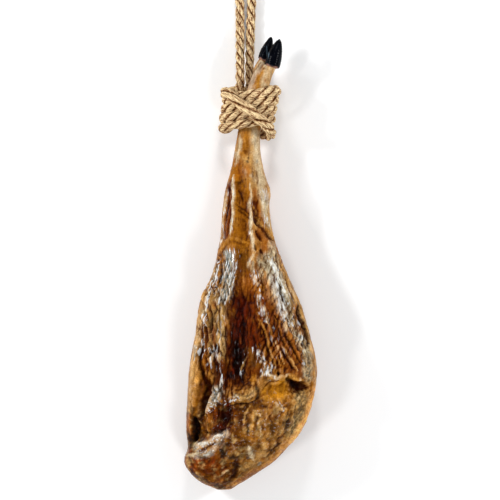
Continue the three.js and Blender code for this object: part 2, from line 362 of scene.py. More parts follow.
class ShaderTree:
    """A small help to place and link shader nodes."""

    def __init__(self, tree: bpy.types.NodeTree) -> None:
        """Keep the tree that the nodes go into."""
        self.tree = tree

    def add(self, kind: str, inputs: dict | None = None, **settings: object) -> bpy.types.Node:
        """Add a node.

        Args:
            kind: the node's type name, without its ShaderNode prefix.
            inputs: plain values or output sockets by input name or number.
            **settings: the node's own properties.

        Returns:
            The new node.
        """
        node = self.tree.nodes.new(f"ShaderNode{kind}")
        for key, value in settings.items():
            setattr(node, key, value)
        for key, value in (inputs or {}).items():
            self.set(node.inputs[key], value)
        return node

    def set(self, socket: bpy.types.NodeSocket, value: object) -> None:
        """Give an input socket an output to read or a plain value."""
        if isinstance(value, bpy.types.NodeSocket):
            self.tree.links.new(value, socket)
        else:
            socket.default_value = value

    def noise(
        self, place: object, scale: object, detail: float, twist: float = 0.0
    ) -> bpy.types.NodeSocket:
        """Add a Noise texture and return its value."""
        inputs = {"Vector": place, "Scale": scale, "Detail": detail, "Distortion": twist}
        return self.add("TexNoise", inputs).outputs["Fac"]

    def painted(self, name: str, output: str = "Fac") -> bpy.types.NodeSocket:
        """Read an attribute that is stored on the mesh."""
        return self.add("Attribute", attribute_name=name).outputs[output]

    def times(self, first: object, second: object) -> bpy.types.NodeSocket:
        """Multiply two values."""
        return self.math("MULTIPLY", first, second)

    def math(self, operation: str, *values: object) -> bpy.types.NodeSocket:
        """Add a Math node on its values and return its output."""
        node = self.add("Math", dict(enumerate(values)), operation=operation)
        return node.outputs[0]

    def ramp(self, value: object, low: float, high: float) -> bpy.types.NodeSocket:
        """Stretch a value so that low becomes 0 and high becomes 1, clamped."""
        node = self.add("MapRange", {"Value": value, "From Min": low, "From Max": high})
        return node.outputs["Result"]

    def mix(
        self, factor: object, first: object, second: object, blend: str = "MIX"
    ) -> bpy.types.NodeSocket:
        """Mix two colours and return the result."""
        node = self.add("Mix", data_type="RGBA", blend_type=blend)
        for key, value in (("Factor_Float", factor), ("A_Color", first), ("B_Color", second)):
            self.set(next(s for s in node.inputs if s.identifier == key), value)
        return next(s for s in node.outputs if s.identifier == "Result_Color")


@dataclass(frozen=True)
class Effect:
    """A shader node group that more than one material uses, with its numbers in and out."""

    name: str
    sizes: tuple[tuple[str, float], ...]
    outputs: tuple[str, ...]

    def build(self) -> tuple[bpy.types.NodeTree, ShaderTree, bpy.types.Node, bpy.types.Node]:
        """Make the group's tree with its sockets.

        Returns:
            The group, a help for its nodes, its input node and its output node.
        """
        group = bpy.data.node_groups.new(self.name, "ShaderNodeTree")
        group.interface.new_socket("Place", in_out="INPUT", socket_type="NodeSocketVector")
        for name, value in self.sizes:
            socket = group.interface.new_socket(name, in_out="INPUT", socket_type="NodeSocketFloat")
            socket.default_value = value
        for name in self.outputs:
            group.interface.new_socket(name, in_out="OUTPUT", socket_type="NodeSocketFloat")
        start = group.nodes.new("NodeGroupInput")
        end = group.nodes.new("NodeGroupOutput")
        return group, ShaderTree(group), start, end


class Effects:
    """The shared effects: mottling, specks and a fine grain."""

    mottle_range: Range = (0.62, 1.38)
    speck_warp: float = 0.35
    speck_spread: float = 0.14
    speck_edge: float = 0.08
    speck_patches: Range = (0.42, 0.58)
    fine_grain: float = 0.35

    def __init__(self) -> None:
        """Build each effect once."""
        self.mottle = self._mottle()
        self.specks = self._specks()
        self.grain = self._grain()

    def _mottle(self) -> bpy.types.NodeTree:
        """Build cloudy blotches at two scales."""
        effect = Effect("Mottle", (("Fine", 300.0), ("Coarse", 60.0)), ("Shade",))
        group, tree, start, end = effect.build()
        place = start.outputs["Place"]
        fine = tree.noise(place, scale=start.outputs["Fine"], detail=4.0)
        coarse = tree.noise(place, scale=start.outputs["Coarse"], detail=3.0)
        group.links.new(tree.ramp(tree.math("ADD", fine, coarse), *self.mottle_range), end.inputs["Shade"])
        return group

    def _specks(self) -> bpy.types.NodeTree:
        """Build scattered small specks."""
        effect = Effect("Specks", (("Density", 420.0), ("Size", 0.32)), ("Mask",))
        group, tree, start, end = effect.build()
        place = start.outputs["Place"]
        warp = tree.noise(place, scale=500.0, detail=2.0)
        cells = tree.add(
            "TexVoronoi", {"Vector": place, "Scale": start.outputs["Density"], "Randomness": 1.0}
        )
        gap = tree.math("ADD", cells.outputs["Distance"], tree.times(warp, self.speck_warp))
        limit = tree.math("ADD", start.outputs["Size"], self.speck_spread)
        near = tree.math("SUBTRACT", limit, gap)
        patch = tree.noise(place, scale=90.0, detail=2.0)
        mask = tree.times(tree.ramp(near, 0.0, self.speck_edge), tree.ramp(patch, *self.speck_patches))
        group.links.new(mask, end.inputs["Mask"])
        return group

    def _grain(self) -> bpy.types.NodeTree:
        """Build a fine uneven height."""
        effect = Effect("Grain", (("Fine", 900.0), ("Coarse", 260.0)), ("Height",))
        group, tree, start, end = effect.build()
        place = start.outputs["Place"]
        fine = tree.noise(place, scale=start.outputs["Fine"], detail=3.0)
        coarse = tree.noise(place, scale=start.outputs["Coarse"], detail=3.0, twist=0.6)
        both = tree.math("ADD", tree.times(fine, self.fine_grain), coarse)
        group.links.new(both, end.inputs["Height"])
        return group


def place_effect(
    tree: ShaderTree, group: bpy.types.NodeTree, place: object, **sizes: float
) -> bpy.types.NodeSocket:
    """Put a shared effect into a material.

    Args:
        tree: the material's tree.
        group: the effect.
        place: the vector that it reads.
        **sizes: its inputs by name.

    Returns:
        Its output.
    """
    return tree.add("Group", {"Place": place, **sizes}, node_tree=group).outputs[0]


def new_material(name: str) -> tuple[bpy.types.Material, ShaderTree, bpy.types.Node]:
    """Make a material with an empty Principled shader.

    Args:
        name: the material's name.

    Returns:
        The material, a help for its nodes and its shader.
    """
    material = bpy.data.materials.new(name)
    material.use_nodes = True
    tree = ShaderTree(material.node_tree)
    return material, tree, material.node_tree.nodes["Principled BSDF"]


@dataclass(frozen=True)
class CuredFinish:
    """Cured fat and lean: painted tones under mottling, with specks of mould, painted shade in fine creases
    and glints of painted highlight under a glossy coat.

    A range is the part of a noise or a mask that a look fades in over.
    """

    effects: Effects
    name: str = "cured_meat"
    dry_roughness: float = 0.44
    wet_roughness: float = 0.15
    patchy_roughness: float = 0.12
    coat_roughness: float = 0.12
    coat: float = 0.6
    specular: float = 0.02
    bump: float = 0.38
    bump_depth: float = 1.2 * MM
    shade_tints: tuple[Tint, Tint] = ((0.5, 0.4, 0.28, 1), (1.32, 1.3, 1.2, 1))
    streak_tints: tuple[Tint, Tint] = ((0.34, 0.26, 0.18, 1), (1.3, 1.28, 1.24, 1))
    streaks: Range = (0.36, 0.6)
    pale_streaks: Range = (0.54, 0.72)
    pale_tones: Range = (0.03, 0.3)
    pale_cover: float = 0.8
    # Painted shade in the fine creases along the meat.
    crease_shade_tint: Tint = (0.34, 0.24, 0.15, 1)
    crease_gap: Range = (0.03, 0.004)
    speck_cover: float = 0.85
    speck_least: float = 0.06
    blot_mould: Range = (0.3, 1.0)
    blot_cover: float = 0.75
    # Glints: painted highlight in dashes, under a glossy coat.
    glint_lift: float = 0.12
    glint_dashes: Range = (0.6, 0.72)
    glint_zone: Range = (0.0, 0.5)
    shine_cover: float = 0.75
    streak_height: float = 0.8
    crease_depth: float = 0.7

    def build(self) -> bpy.types.Material:
        """Build the material."""
        material, tree, shader = new_material(self.name)
        place = tree.add("TexCoord").outputs["Object"]
        flow = tree.painted("flow", "Vector")
        amount = tree.painted("streak")
        shade = place_effect(tree, self.effects.mottle, place, Fine=340.0, Coarse=70.0)
        lines = tree.noise(flow, scale=190.0, detail=3.0, twist=0.5)
        crease_noise = tree.noise(flow, scale=130.0, detail=5.0, twist=0.9)
        gap = tree.math("ABSOLUTE", tree.math("SUBTRACT", crease_noise, 0.5))
        crease_mask = tree.times(tree.ramp(gap, *self.crease_gap), amount)
        shine = self._shine(tree, flow)
        colour = self._meat(tree, shade, lines, amount)
        # Painted shade in the fine creases.
        colour = tree.mix(crease_mask, colour, self.crease_shade_tint, "MULTIPLY")
        colour = self._mouldy(tree, place, colour)
        # Painted highlight on the glints.
        colour = tree.mix(tree.times(shine, self.shine_cover), colour, Tone.SHINE.value)
        grain = place_effect(tree, self.effects.grain, place, Fine=1100.0, Coarse=300.0)
        height = tree.math("ADD", grain, tree.times(lines, self.streak_height))
        height = tree.math("SUBTRACT", height, tree.times(crease_mask, self.crease_depth))
        bump = {"Strength": self.bump, "Distance": self.bump_depth, "Height": height}
        patchy = tree.times(tree.math("SUBTRACT", shade, 0.5), self.patchy_roughness)
        gloss = tree.add(
            "MapRange",
            {"Value": tree.painted("wet"), "To Min": self.dry_roughness, "To Max": self.wet_roughness},
        )
        tree.set(shader.inputs["Base Color"], colour)
        tree.set(shader.inputs["Coat Weight"], tree.times(shine, self.coat))
        tree.set(shader.inputs["Coat Roughness"], self.coat_roughness)
        tree.set(shader.inputs["Normal"], tree.add("Bump", bump).outputs[0])
        tree.set(shader.inputs["Roughness"], tree.math("ADD", gloss.outputs["Result"], patchy))
        tree.set(shader.inputs["Specular IOR Level"], self.specular)
        return material

    def _meat(self, tree: ShaderTree, shade: object, lines: object, amount: object) -> bpy.types.NodeSocket:
        """Mottle and streak the painted tones.

        Args:
            tree: the material's tree.
            shade: the mottling.
            lines: the noise that runs along the meat.
            amount: how streaky the meat is.

        Returns:
            The colour.
        """
        tone = tree.painted("tone", "Color")
        colour = tree.mix(1.0, tone, tree.mix(shade, *self.shade_tints), "MULTIPLY")
        streak = tree.mix(tree.ramp(lines, *self.streaks), *self.streak_tints)
        colour = tree.mix(amount, colour, streak, "MULTIPLY")
        green = tree.add("SeparateColor", {"Color": tone}).outputs["Green"]
        light = tree.ramp(green, *self.pale_tones)
        pale = tree.times(tree.ramp(lines, *self.pale_streaks), tree.times(amount, light))
        return tree.mix(tree.times(pale, self.pale_cover), colour, Tone.CREAM.value)

    def _mouldy(self, tree: ShaderTree, place: object, colour: object) -> bpy.types.NodeSocket:
        """Sprinkle specks of mould, and larger blots where the mould is thick."""
        mould = tree.painted("mould")
        dark = Tone.MOULD_DARK.value
        specks = place_effect(tree, self.effects.specks, place, Density=300.0, Size=0.34)
        often = tree.math("ADD", tree.times(mould, self.speck_cover), self.speck_least)
        colour = tree.mix(tree.times(specks, often), colour, dark)
        blots = place_effect(tree, self.effects.specks, place, Density=170.0, Size=0.42)
        thick = tree.times(tree.ramp(mould, *self.blot_mould), self.blot_cover)
        return tree.mix(tree.times(blots, thick), colour, dark)

    def _shine(self, tree: ShaderTree, flow: object) -> bpy.types.NodeSocket:
        """Break the painted glints into dashes along the meat."""
        dashes = tree.noise(flow, scale=300.0, detail=3.0, twist=0.4)
        glint = tree.painted("glint")
        lit = tree.math("ADD", dashes, tree.times(glint, self.glint_lift))
        return tree.times(tree.ramp(lit, *self.glint_dashes), tree.ramp(glint, *self.glint_zone))


@dataclass(frozen=True)
class HornFinish:
    """Glossy black horn with faint bluish and brown blotches and lines along it, and painted highlights in
    streaks.
    """

    effects: Effects
    name: str = "hoof_horn"
    roughness: float = 0.06
    patchy_roughness: float = 0.2
    specular: float = 0.02
    coat: float = 0.06
    coat_roughness: float = 0.05
    bump: float = 0.3
    bump_depth: float = 0.8 * MM
    run: tuple[float, float, float] = (1.0, 0.12, 1.0)
    blacks: tuple[Tint, Tint] = (srgb(0, 0, 1), srgb(6, 8, 16))
    gleam_tone: Tint = srgb(96, 118, 132)
    gleams: Range = (0.62, 0.74)
    gleam_cover: float = 0.5
    coronet_tone: Tint = srgb(150, 110, 96)

    def build(self) -> bpy.types.Material:
        """Build the material."""
        material, tree, shader = new_material(self.name)
        place = tree.add("TexCoord").outputs["Object"]
        shade = place_effect(tree, self.effects.mottle, place, Fine=500.0, Coarse=120.0)
        lines = tree.add("Mapping", {"Vector": place, "Scale": self.run}).outputs[0]
        # Painted highlights in streaks along the horn.
        sheen = tree.noise(lines, scale=190.0, detail=3.0)
        gleam = tree.times(tree.ramp(sheen, *self.gleams), self.gleam_cover)
        colour = tree.mix(gleam, tree.mix(shade, *self.blacks), self.gleam_tone)
        colour = tree.mix(tree.painted("coronet"), colour, self.coronet_tone)
        height = place_effect(tree, self.effects.grain, lines, Fine=1500.0, Coarse=700.0)
        bump = {"Strength": self.bump, "Distance": self.bump_depth, "Height": height}
        rough = tree.math("ADD", tree.times(shade, self.patchy_roughness), self.roughness)
        tree.set(shader.inputs["Base Color"], colour)
        tree.set(shader.inputs["Normal"], tree.add("Bump", bump).outputs[0])
        tree.set(shader.inputs["Roughness"], rough)
        tree.set(shader.inputs["Specular IOR Level"], self.specular)
        tree.set(shader.inputs["Coat Weight"], self.coat)
        tree.set(shader.inputs["Coat Roughness"], self.coat_roughness)
        return material


@dataclass(frozen=True)
class FibreFinish:
    """Straw-coloured plant fibre laid into strands, dark with painted shade in the grooves."""

    effects: Effects
    name: str = "rope_fibre"
    specular: float = 0.03
    bump: float = 0.85
    bump_depth: float = 1.6 * MM
    yarn_tones: tuple[Tint, Tint] = (srgb(122, 64, 24), srgb(255, 236, 196))
    yarn_range: Range = (0.42, 0.54)
    shade_tints: tuple[Tint, Tint] = ((0.7, 0.6, 0.46, 1), (1.12, 1.05, 0.93, 1))
    # Painted shade on the strands' sides and in the grooves between them.
    shade_unevenness: float = 0.5
    groove_shade_tone: Tint = srgb(132, 74, 28)
    groove_shade_range: Range = (0.25, 1.1)
    groove_shadow_tone: Tint = srgb(58, 26, 6)
    groove_shadow_range: Range = (0.72, 1.05)
    yarn_height: float = 1.4
    grain_height: float = 0.4
    rough_range: Range = (-3.0, 1.4)

    def build(self) -> bpy.types.Material:
        """Build the material."""
        material, tree, shader = new_material(self.name)
        place = tree.add("TexCoord").outputs["Object"]
        lay = tree.painted("lay", "Vector")
        yarn_inputs = {"Vector": lay, "Scale": 560.0, "Detail": 5.0, "Roughness": 0.7}
        yarns = tree.add("TexNoise", yarn_inputs).outputs["Fac"]
        shade = place_effect(tree, self.effects.mottle, place, Fine=300.0, Coarse=80.0)
        colour = tree.mix(tree.ramp(yarns, *self.yarn_range), *self.yarn_tones)
        colour = tree.mix(1.0, colour, tree.mix(shade, *self.shade_tints), "MULTIPLY")
        # Painted shade in the grooves, made uneven by the yarns.
        loose = tree.times(tree.math("SUBTRACT", yarns, shade), self.shade_unevenness)
        groove_shade = tree.math("ADD", tree.painted("groove"), loose)
        colour = tree.mix(tree.ramp(groove_shade, *self.groove_shade_range), colour, self.groove_shade_tone)
        colour = tree.mix(tree.ramp(groove_shade, *self.groove_shadow_range), colour, self.groove_shadow_tone)
        grain = place_effect(tree, self.effects.grain, place, Fine=1600.0, Coarse=800.0)
        height = tree.math("ADD", tree.times(yarns, self.yarn_height), tree.times(grain, self.grain_height))
        bump = {"Strength": self.bump, "Distance": self.bump_depth, "Height": height}
        tree.set(shader.inputs["Base Color"], colour)
        tree.set(shader.inputs["Normal"], tree.add("Bump", bump).outputs[0])
        tree.set(shader.inputs["Roughness"], tree.ramp(shade, *self.rough_range))
        tree.set(shader.inputs["Specular IOR Level"], self.specular)
        return material


@dataclass(frozen=True)
class HamZones:
    """Where the ham's parts fade into each other, by their place along it in millimetres."""

    toes: Fade = Fade(296, 306)
    toe_ends: Fade = Fade(352, 342)
    toe_hollows: Fade = Fade(290, 300)
    hooves: Fade = Fade(331, 318)
    lashing: Fade = Fade(228, 216)
    shank: Fade = Fade(20, 60)
    grain_top: Fade = Fade(40, -20)
    grain_foot: Fade = Fade(-262, -205)
    lobe: Fade = Fade(-240, -262)
    lobe_lanes: Fade = Fade(-205, -262)


@dataclass(frozen=True)
class HamNoises:
    """The seeded noises that the ham's surface and tones follow, in millimetres."""

    bend_across: Lumps = Lumps(34, 2, 3.1)
    bend_along: Lumps = Lumps(34, 2, 17.7)
    waver_across: Lumps = Lumps(7, 2, 8.2)
    waver_along: Lumps = Lumps(7, 2, 25.3)
    growth: Lumps = Lumps(36, 2, 111)
    fold_swell: Lumps = Lumps(18, 2, 52)
    cords: Lumps = Lumps(10, 2, 71)
    pores: Lumps = Lumps(9, 3, 41)
    patches: Lumps = Lumps(12, 3, 63)
    regions: Lumps = Lumps(60, 3, 23)
    streaks: Lumps = Lumps(6, 4, 87)
    stroke_swell: Lumps = Lumps(20, 2, 29)
    breaks: Lumps = Lumps(3, 2, 47)
    clouds: Lumps = Lumps(22, 3, 133)
    mould: Lumps = Lumps(4.5, 2, 151)
    lobe: Lumps = Lumps(15, 3, 171)


@dataclass(frozen=True)
class HamRelief:
    """How strongly the ham is folded and which points take part, its heights in millimetres."""

    shown: Fade = Fade(-0.25, 0.35)
    hidden: Fade = Fade(0.25, -0.2)
    above_floor: Fade = Fade(0.2, 6.0)
    calm: Fade = Fade(1.5, 0.6)
    calm_share: float = 0.8
    growth: Fade = Fade(-0.3, 0.3)
    growth_share: float = 0.6
    fold_swell: float = 0.55
    sharp_fall: float = 1.6
    cord_rise: float = 2.4
    cord_drop: float = 0.8
    least_grain: float = 0.2
    grown_grain: float = 1.3
    pores: float = 0.5
    under_rope: float = 0.15
    patch_edge: Fade = Fade(1.3, 0.35)
    patch_least: float = 0.001
    patch_rise: float = 1.5
    coarse_share: float = 0.5


@dataclass(frozen=True)
class HamLanes:
    """How the lanes run along the ham, and how streaky they are."""

    width: float = 100.0
    pace: float = 0.22
    lobe_pace: float = 0.6
    depth: float = 0.35
    streak: float = 0.22
    grown_streak: float = 0.4
    shank_calm: float = 0.16


@dataclass(frozen=True)
class Layer:
    """A tone that is laid on where a noise or the relief is strong."""

    tone: Tone
    fade: Fade
    strength: float

    def cover(self, values: np.ndarray) -> np.ndarray:
        """Return how much of the tone each value lays on."""
        return self.fade.of(values) * self.strength


@dataclass(frozen=True)
class HamLook:
    """How the ham's tones follow its noises and its relief: painted shade in hollows, painted highlight on
    crests.
    """

    ochre: Layer = Layer(Tone.OCHRE, Fade(0.0, 0.5), 0.7)
    amber: Layer = Layer(Tone.DEEP_AMBER, Fade(-0.05, -0.5), 0.7)
    skin: float = 0.8
    clouds: tuple[Layer, ...] = (
        Layer(Tone.OLIVE_AMBER, Fade(0.05, 0.5), 0.6),
        Layer(Tone.BROWN, Fade(-0.1, -0.5), 0.7),
    )
    blotches: tuple[Layer, ...] = (
        Layer(Tone.DARK_BROWN, Fade(-0.2, -0.6), 0.6),
        Layer(Tone.GREY_OCHRE, Fade(0.1, 0.5), 0.55),
    )
    spots: Layer = Layer(Tone.MOULD_DARK, Fade(0.02, 0.3), 0.8)
    spotted: Fade = Fade(0.45, 0.9)
    sunk: Layer = Layer(Tone.BROWN, Fade(-0.02, -0.6), 0.35)
    # Painted highlight on the crests.
    crest: Layer = Layer(Tone.TAN, Fade(0.05, 1.1), 0.45)
    crest_light: float = 0.3
    crest_calm: float = 0.5
    pale_enough: Fade = Fade(0.02, 0.2)
    dark_enough: Fade = Fade(0.42, 0.24)
    # Painted shade in the hollows, less on the hidden side, the lobe, the toes and the lit flap.
    hollow: Fade = Fade(-0.05, -1.1)
    hidden_hollow: float = 0.3
    lobe_calm: float = 0.4
    toe_calm: float = 0.6
    lit: Fade = Fade(1.6, 0.6)
    lit_calm: float = 0.85
    lump_limit: float = 0.7
    lump_light: float = 0.55
    lump_mould: Fade = Fade(0.02, 0.1)
    wet: float = 0.55
    wet_patches: float = 0.25
    driest: float = 0.02
    mould: float = 0.12
    stroke_swell: float = 0.3
    ragged_patches: float = 0.4
    ragged_streaks: float = 0.6
    stroke: Fade = Fade(1.7, 0.2)
    broken: Fade = Fade(-0.3, 0.25)
    broken_relief: float = 0.3
    least_light: float = 0.15
    least_dark: float = 0.65
    # Painted highlight along the glint runs, most on raised points.
    glint: Fade = Fade(1.4, 0.4)
    glint_patches: float = 0.5
    raised: Fade = Fade(-0.3, 0.6)
    raised_share: float = 0.45


ZONES = HamZones()
NOISES = HamNoises()
RELIEF = HamRelief()
LANES = HamLanes()
LOOK = HamLook()


@dataclass(frozen=True)
class Surface:
    """What the ham's points are before they are folded, in millimetres.

    Flat is their x and y bent a little, flow their place in lanes along the ham, shown how far
    each faces the shown side, and grown how much of the meat's long grain it has.
    """

    places: np.ndarray
    flat: np.ndarray
    flow: np.ndarray
    shown: np.ndarray
    grown: np.ndarray


@dataclass
class HamBody:
    """The thigh, the shank and the toes as one carved and painted piece.

    Its lengths are in millimetres but for the voxel. The first broad strokes, as many as fields,
    lie under the clouds of the lower lobe, and the finer ones over them.
    """

    frame: dict
    finish: CuredFinish
    voxel: float = 2.08 * MM
    weld: float = 0.01 * MM
    warp: float = 3.6
    fine_warp: float = 0.9
    thin: float = 5.2
    taper: float = 0.7
    fields: int = 24
    toe_evenness: float = 0.5
    toe_passes: int = 60
    calm_line: Line = ((-12, 30), (-14, -30), (-4, -70))
    calm_reach: float = 20.0
    # The lit floor of the flap's pocket gets less painted shade.
    lit_line: Line = ((30, -236), (44, -226), (62, -230))
    lit_reach: float = 11.0
    band: float = 4.0
    bands_evened: int = 11
    lane_half: float = 60.0
    relief_passes: tuple[int, int] = (10, 60)
    blank_passes: int = 6
    brightest: float = 0.82
    # Painted shade in the hollows: the share of each colour channel it takes away.
    painted_shade_loss: tuple[float, float, float] = (0.74, 0.87, 0.94)
    skin_edge: float = 34.0
    skin_bow: float = 0.004
    skin_fade: float = 4.0
    light_tone: float = 0.1
    folds: tuple[Fold, ...] = field(default_factory=lambda: HAM_FOLDS)
    wrinkles: tuple[WrinkleField, ...] = field(default_factory=lambda: HAM_WRINKLES)
    strokes: tuple[Stroke, ...] = field(default_factory=lambda: HAM_STROKES)
    glints: tuple[Glint, ...] = field(default_factory=lambda: HAM_GLINTS)

    def build(self) -> bpy.types.Object:
        """Carve and paint the ham and put it in its node's place.

        Returns:
            The finished piece.
        """
        obj = self._carve_blank()
        self._even_toes(obj)
        surface = self._surveyed(obj)
        self._fold(obj, surface)
        self._paint(obj, surface)
        store_vector(obj, "flow", surface.flow * MM)
        shank = ZONES.shank.of(surface.places[:, 1])
        streak = LANES.streak + LANES.grown_streak * surface.grown - LANES.shank_calm * shank
        store_value(obj, "streak", streak)
        shade_smooth(obj)
        obj.data.materials.append(self.finish.build())
        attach(obj, ROOT)
        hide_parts("ham")
        log.info("%s: %d points", obj.name, len(surface.places))
        return obj

    def _carve_blank(self) -> bpy.types.Object:
        """Copy the ham's solid and give it an even fine mesh."""
        mesh = self.frame["nodes"]["ham"].data.copy()
        mesh.materials.clear()
        obj = bpy.data.objects.new("ham_body", mesh)
        bpy.context.scene.collection.objects.link(obj)
        form = bmesh.new()
        form.from_mesh(mesh)
        bmesh.ops.remove_doubles(form, verts=form.verts, dist=self.weld)
        form.to_mesh(mesh)
        form.free()
        apply_modifier(obj, "REMESH", mode="VOXEL", voxel_size=self.voxel)
        apply_modifier(obj, "SMOOTH", factor=0.5, iterations=self.blank_passes)
        return obj

    def _even_toes(self, obj: bpy.types.Object) -> None:
        """Even out the toes' surface between the lashing and the hooves."""
        places = points_of(obj)
        along = places[:, 1] / MM
        weight = self.toe_evenness * ZONES.toes.of(along) * ZONES.toe_ends.of(along)
        move_points(obj, Neighbours(obj).evened(places, weight[:, None], self.toe_passes))

    def _surveyed(self, obj: bpy.types.Object) -> Surface:
        """Survey the ham's points: where they are, which way they face and how they flow."""
        places = points_of(obj) / MM
        along = places[:, 1]
        calm = RELIEF.calm.of(distance_to_line(places[:, :2], self.calm_line) / self.calm_reach)
        uneven = 1 - RELIEF.growth_share * (1 - RELIEF.growth.of(NOISES.growth.at(places)))
        grown = ZONES.grain_top.of(along) * ZONES.grain_foot.of(along)
        grown *= (1 - RELIEF.calm_share * calm) * uneven
        shown = RELIEF.shown.of(normals_of(obj)[:, 2])
        return Surface(places, self._bent(places), self._flow(places), shown, grown)

    def _bent(self, places: np.ndarray) -> np.ndarray:
        """Return the points' x and y, bent a little so that straight lines wander."""
        across = self.warp * NOISES.bend_across.at(places)
        across += self.fine_warp * NOISES.waver_across.at(places)
        along = self.warp * NOISES.bend_along.at(places)
        along += self.fine_warp * NOISES.waver_along.at(places)
        return places[:, :2] + np.stack([across, along], axis=1)

    def _flow(self, places: np.ndarray) -> np.ndarray:
        """Return the points in lanes that follow the ham's outline, for streaks along it."""
        foot = places[:, 1].min()
        at = (places[:, 1] - foot) / self.band
        step = at.astype(int)
        left = np.zeros(step.max() + 1)
        right = np.zeros(step.max() + 1)
        np.minimum.at(left, step, places[:, 0])
        np.maximum.at(right, step, places[:, 0])
        left, right = self._evened(left), self._evened(right)
        steps = np.arange(len(left))
        middle = np.interp(at, steps, (left + right) / 2)
        half = np.maximum(np.interp(at, steps, (right - left) / 2), self.lane_half)
        across = LANES.width * (places[:, 0] - middle) / half
        pace = LANES.pace + LANES.lobe_pace * ZONES.lobe_lanes.of(foot + steps * self.band)
        along = np.interp(at, steps, np.cumsum(pace) * self.band)
        return np.stack([across, along, LANES.depth * places[:, 2]], axis=1)

    def _evened(self, edge: np.ndarray) -> np.ndarray:
        """Even out one edge of the outline over a few bands."""
        kernel = np.ones(self.bands_evened) / self.bands_evened
        return np.convolve(np.pad(edge, self.bands_evened // 2, mode="edge"), kernel, "valid")

    def _fold(self, obj: bpy.types.Object, surface: Surface) -> None:
        """Raise the folds and wrinkles along the surface's normals."""
        places = surface.places
        rise = np.zeros(len(places))
        swell = 1 + RELIEF.fold_swell * np.clip(NOISES.fold_swell.at(places), -1, 1)
        for fold in self.folds:
            away = distance_to_line(surface.flat, fold.line, self.taper) / fold.reach
            steep = away * away if fold.edge is Edge.ROUND else RELIEF.sharp_fall * away
            rise += fold.rise * np.exp(-steep) * swell
        for patch in self.wrinkles:
            rise += self._wrinkled(patch, places)
        grain = RELIEF.least_grain + RELIEF.grown_grain * surface.grown
        rise += grain * self._corded(NOISES.cords.at(surface.flow))
        rise *= surface.shown
        rise += RELIEF.pores * NOISES.pores.at(places)
        rise *= RELIEF.above_floor.of(places[:, 2]) * ZONES.hooves.of(places[:, 1])
        rise *= RELIEF.under_rope + (1 - RELIEF.under_rope) * ZONES.lashing.of(places[:, 1])
        moved = places + normals_of(obj) * rise[:, None]
        moved[:, 2] = np.maximum(moved[:, 2], 0)
        move_points(obj, moved * MM)

    @staticmethod
    def _corded(waves: np.ndarray) -> np.ndarray:
        """Turn waves into round cords with sharp gaps between them."""
        return RELIEF.cord_rise * np.abs(waves) - RELIEF.cord_drop

    def _wrinkled(self, patch: WrinkleField, places: np.ndarray) -> np.ndarray:
        """Return the height of one patch of wrinkles at the points, in millimetres."""
        turn = math.radians(patch.angle)
        run = np.array([math.sin(turn), math.cos(turn)])
        side = np.array([run[1], -run[0]])
        offset = places[:, :2] - np.array(patch.centre)
        along = offset @ run
        across = offset @ side
        inside = (across / patch.radii[0]) ** 2 + (along / patch.radii[1]) ** 2
        weight = RELIEF.patch_edge.of(inside)
        near = weight > RELIEF.patch_least
        lanes = np.stack([across, along / patch.stretch, places[:, 2] / patch.stretch], axis=1)[near]
        waves = Lumps(patch.spacing, 2, patch.seed).at(lanes)
        rise = np.zeros(len(places))
        rise[near] = RELIEF.patch_rise * patch.depth * self._corded(waves) * weight[near]
        return rise

    def _paint(self, obj: bpy.types.Object, surface: Surface) -> None:
        """Lay the strokes of tone over each other, paint shade into the hollows and highlight onto the
        crests.
        """
        places, shown = surface.places, surface.shown
        along = places[:, 1]
        patchy = NOISES.patches.at(places)
        streaky = NOISES.streaks.at(surface.flow)
        fine, coarse = (relief_of(obj, passes) for passes in self.relief_passes)
        relief = (fine + RELIEF.coarse_share * coarse) / MM
        lobe = ZONES.lobe.of(along) * shown
        colours, wet, mould = self._stroked(surface, self._base(obj, places), patchy, streaky, relief, lobe)
        spots = LOOK.spots.cover(NOISES.mould.at(places)) * LOOK.spotted.of(mould)
        colours = self._blend(colours, LOOK.spots.tone, spots * shown)
        colours = self._blend(colours, LOOK.sunk.tone, LOOK.sunk.cover(streaky) * shown)
        # Painted highlight on the crests and painted shade in the hollows, from the relief.
        crest = shown * (1 - LOOK.crest_calm * ZONES.shank.of(along))
        green = colours[:, 1]
        light = LOOK.pale_enough.of(green) * LOOK.dark_enough.of(green)
        colours = self._blend(colours, LOOK.crest.tone, LOOK.crest.cover(relief) * crest * light)
        colours[:, :3] *= 1 - self._hollows(surface, relief, lobe)[:, None] * np.array(self.painted_shade_loss)
        lumps = np.clip(NOISES.lobe.at(places), -LOOK.lump_limit, LOOK.lump_limit)
        lumps *= LOOK.lump_light * lobe * LOOK.lump_mould.of(mould)
        crest *= LOOK.crest_light * LOOK.crest.fade.of(relief)
        colours[:, :3] *= (1 + crest + lumps)[:, None]
        colours[:, :3] = np.minimum(colours[:, :3], self.brightest)
        store_colour(obj, "tone", colours)
        store_value(obj, "wet", np.clip(wet + LOOK.wet_patches * patchy, LOOK.driest, 1.0))
        store_value(obj, "mould", np.clip(mould, 0, 1))
        store_value(obj, "glint", self._glints(surface, patchy, relief))

    def _base(self, obj: bpy.types.Object, places: np.ndarray) -> np.ndarray:
        """Return the tones under all strokes: amber fat, and smooth skin on the hidden side."""
        regions = NOISES.regions.at(places)
        colours = np.tile(np.array(Tone.AMBER.value), (len(places), 1))
        for layer in (LOOK.ochre, LOOK.amber):
            colours = self._blend(colours, layer.tone, layer.cover(regions))
        above = places[:, 1] - self.skin_edge - self.skin_bow * places[:, 0] ** 2
        skin = RELIEF.hidden.of(normals_of(obj)[:, 2]) * Fade(-self.skin_fade, self.skin_fade).of(above)
        return self._blend(colours, Tone.SKIN, skin * LOOK.skin)

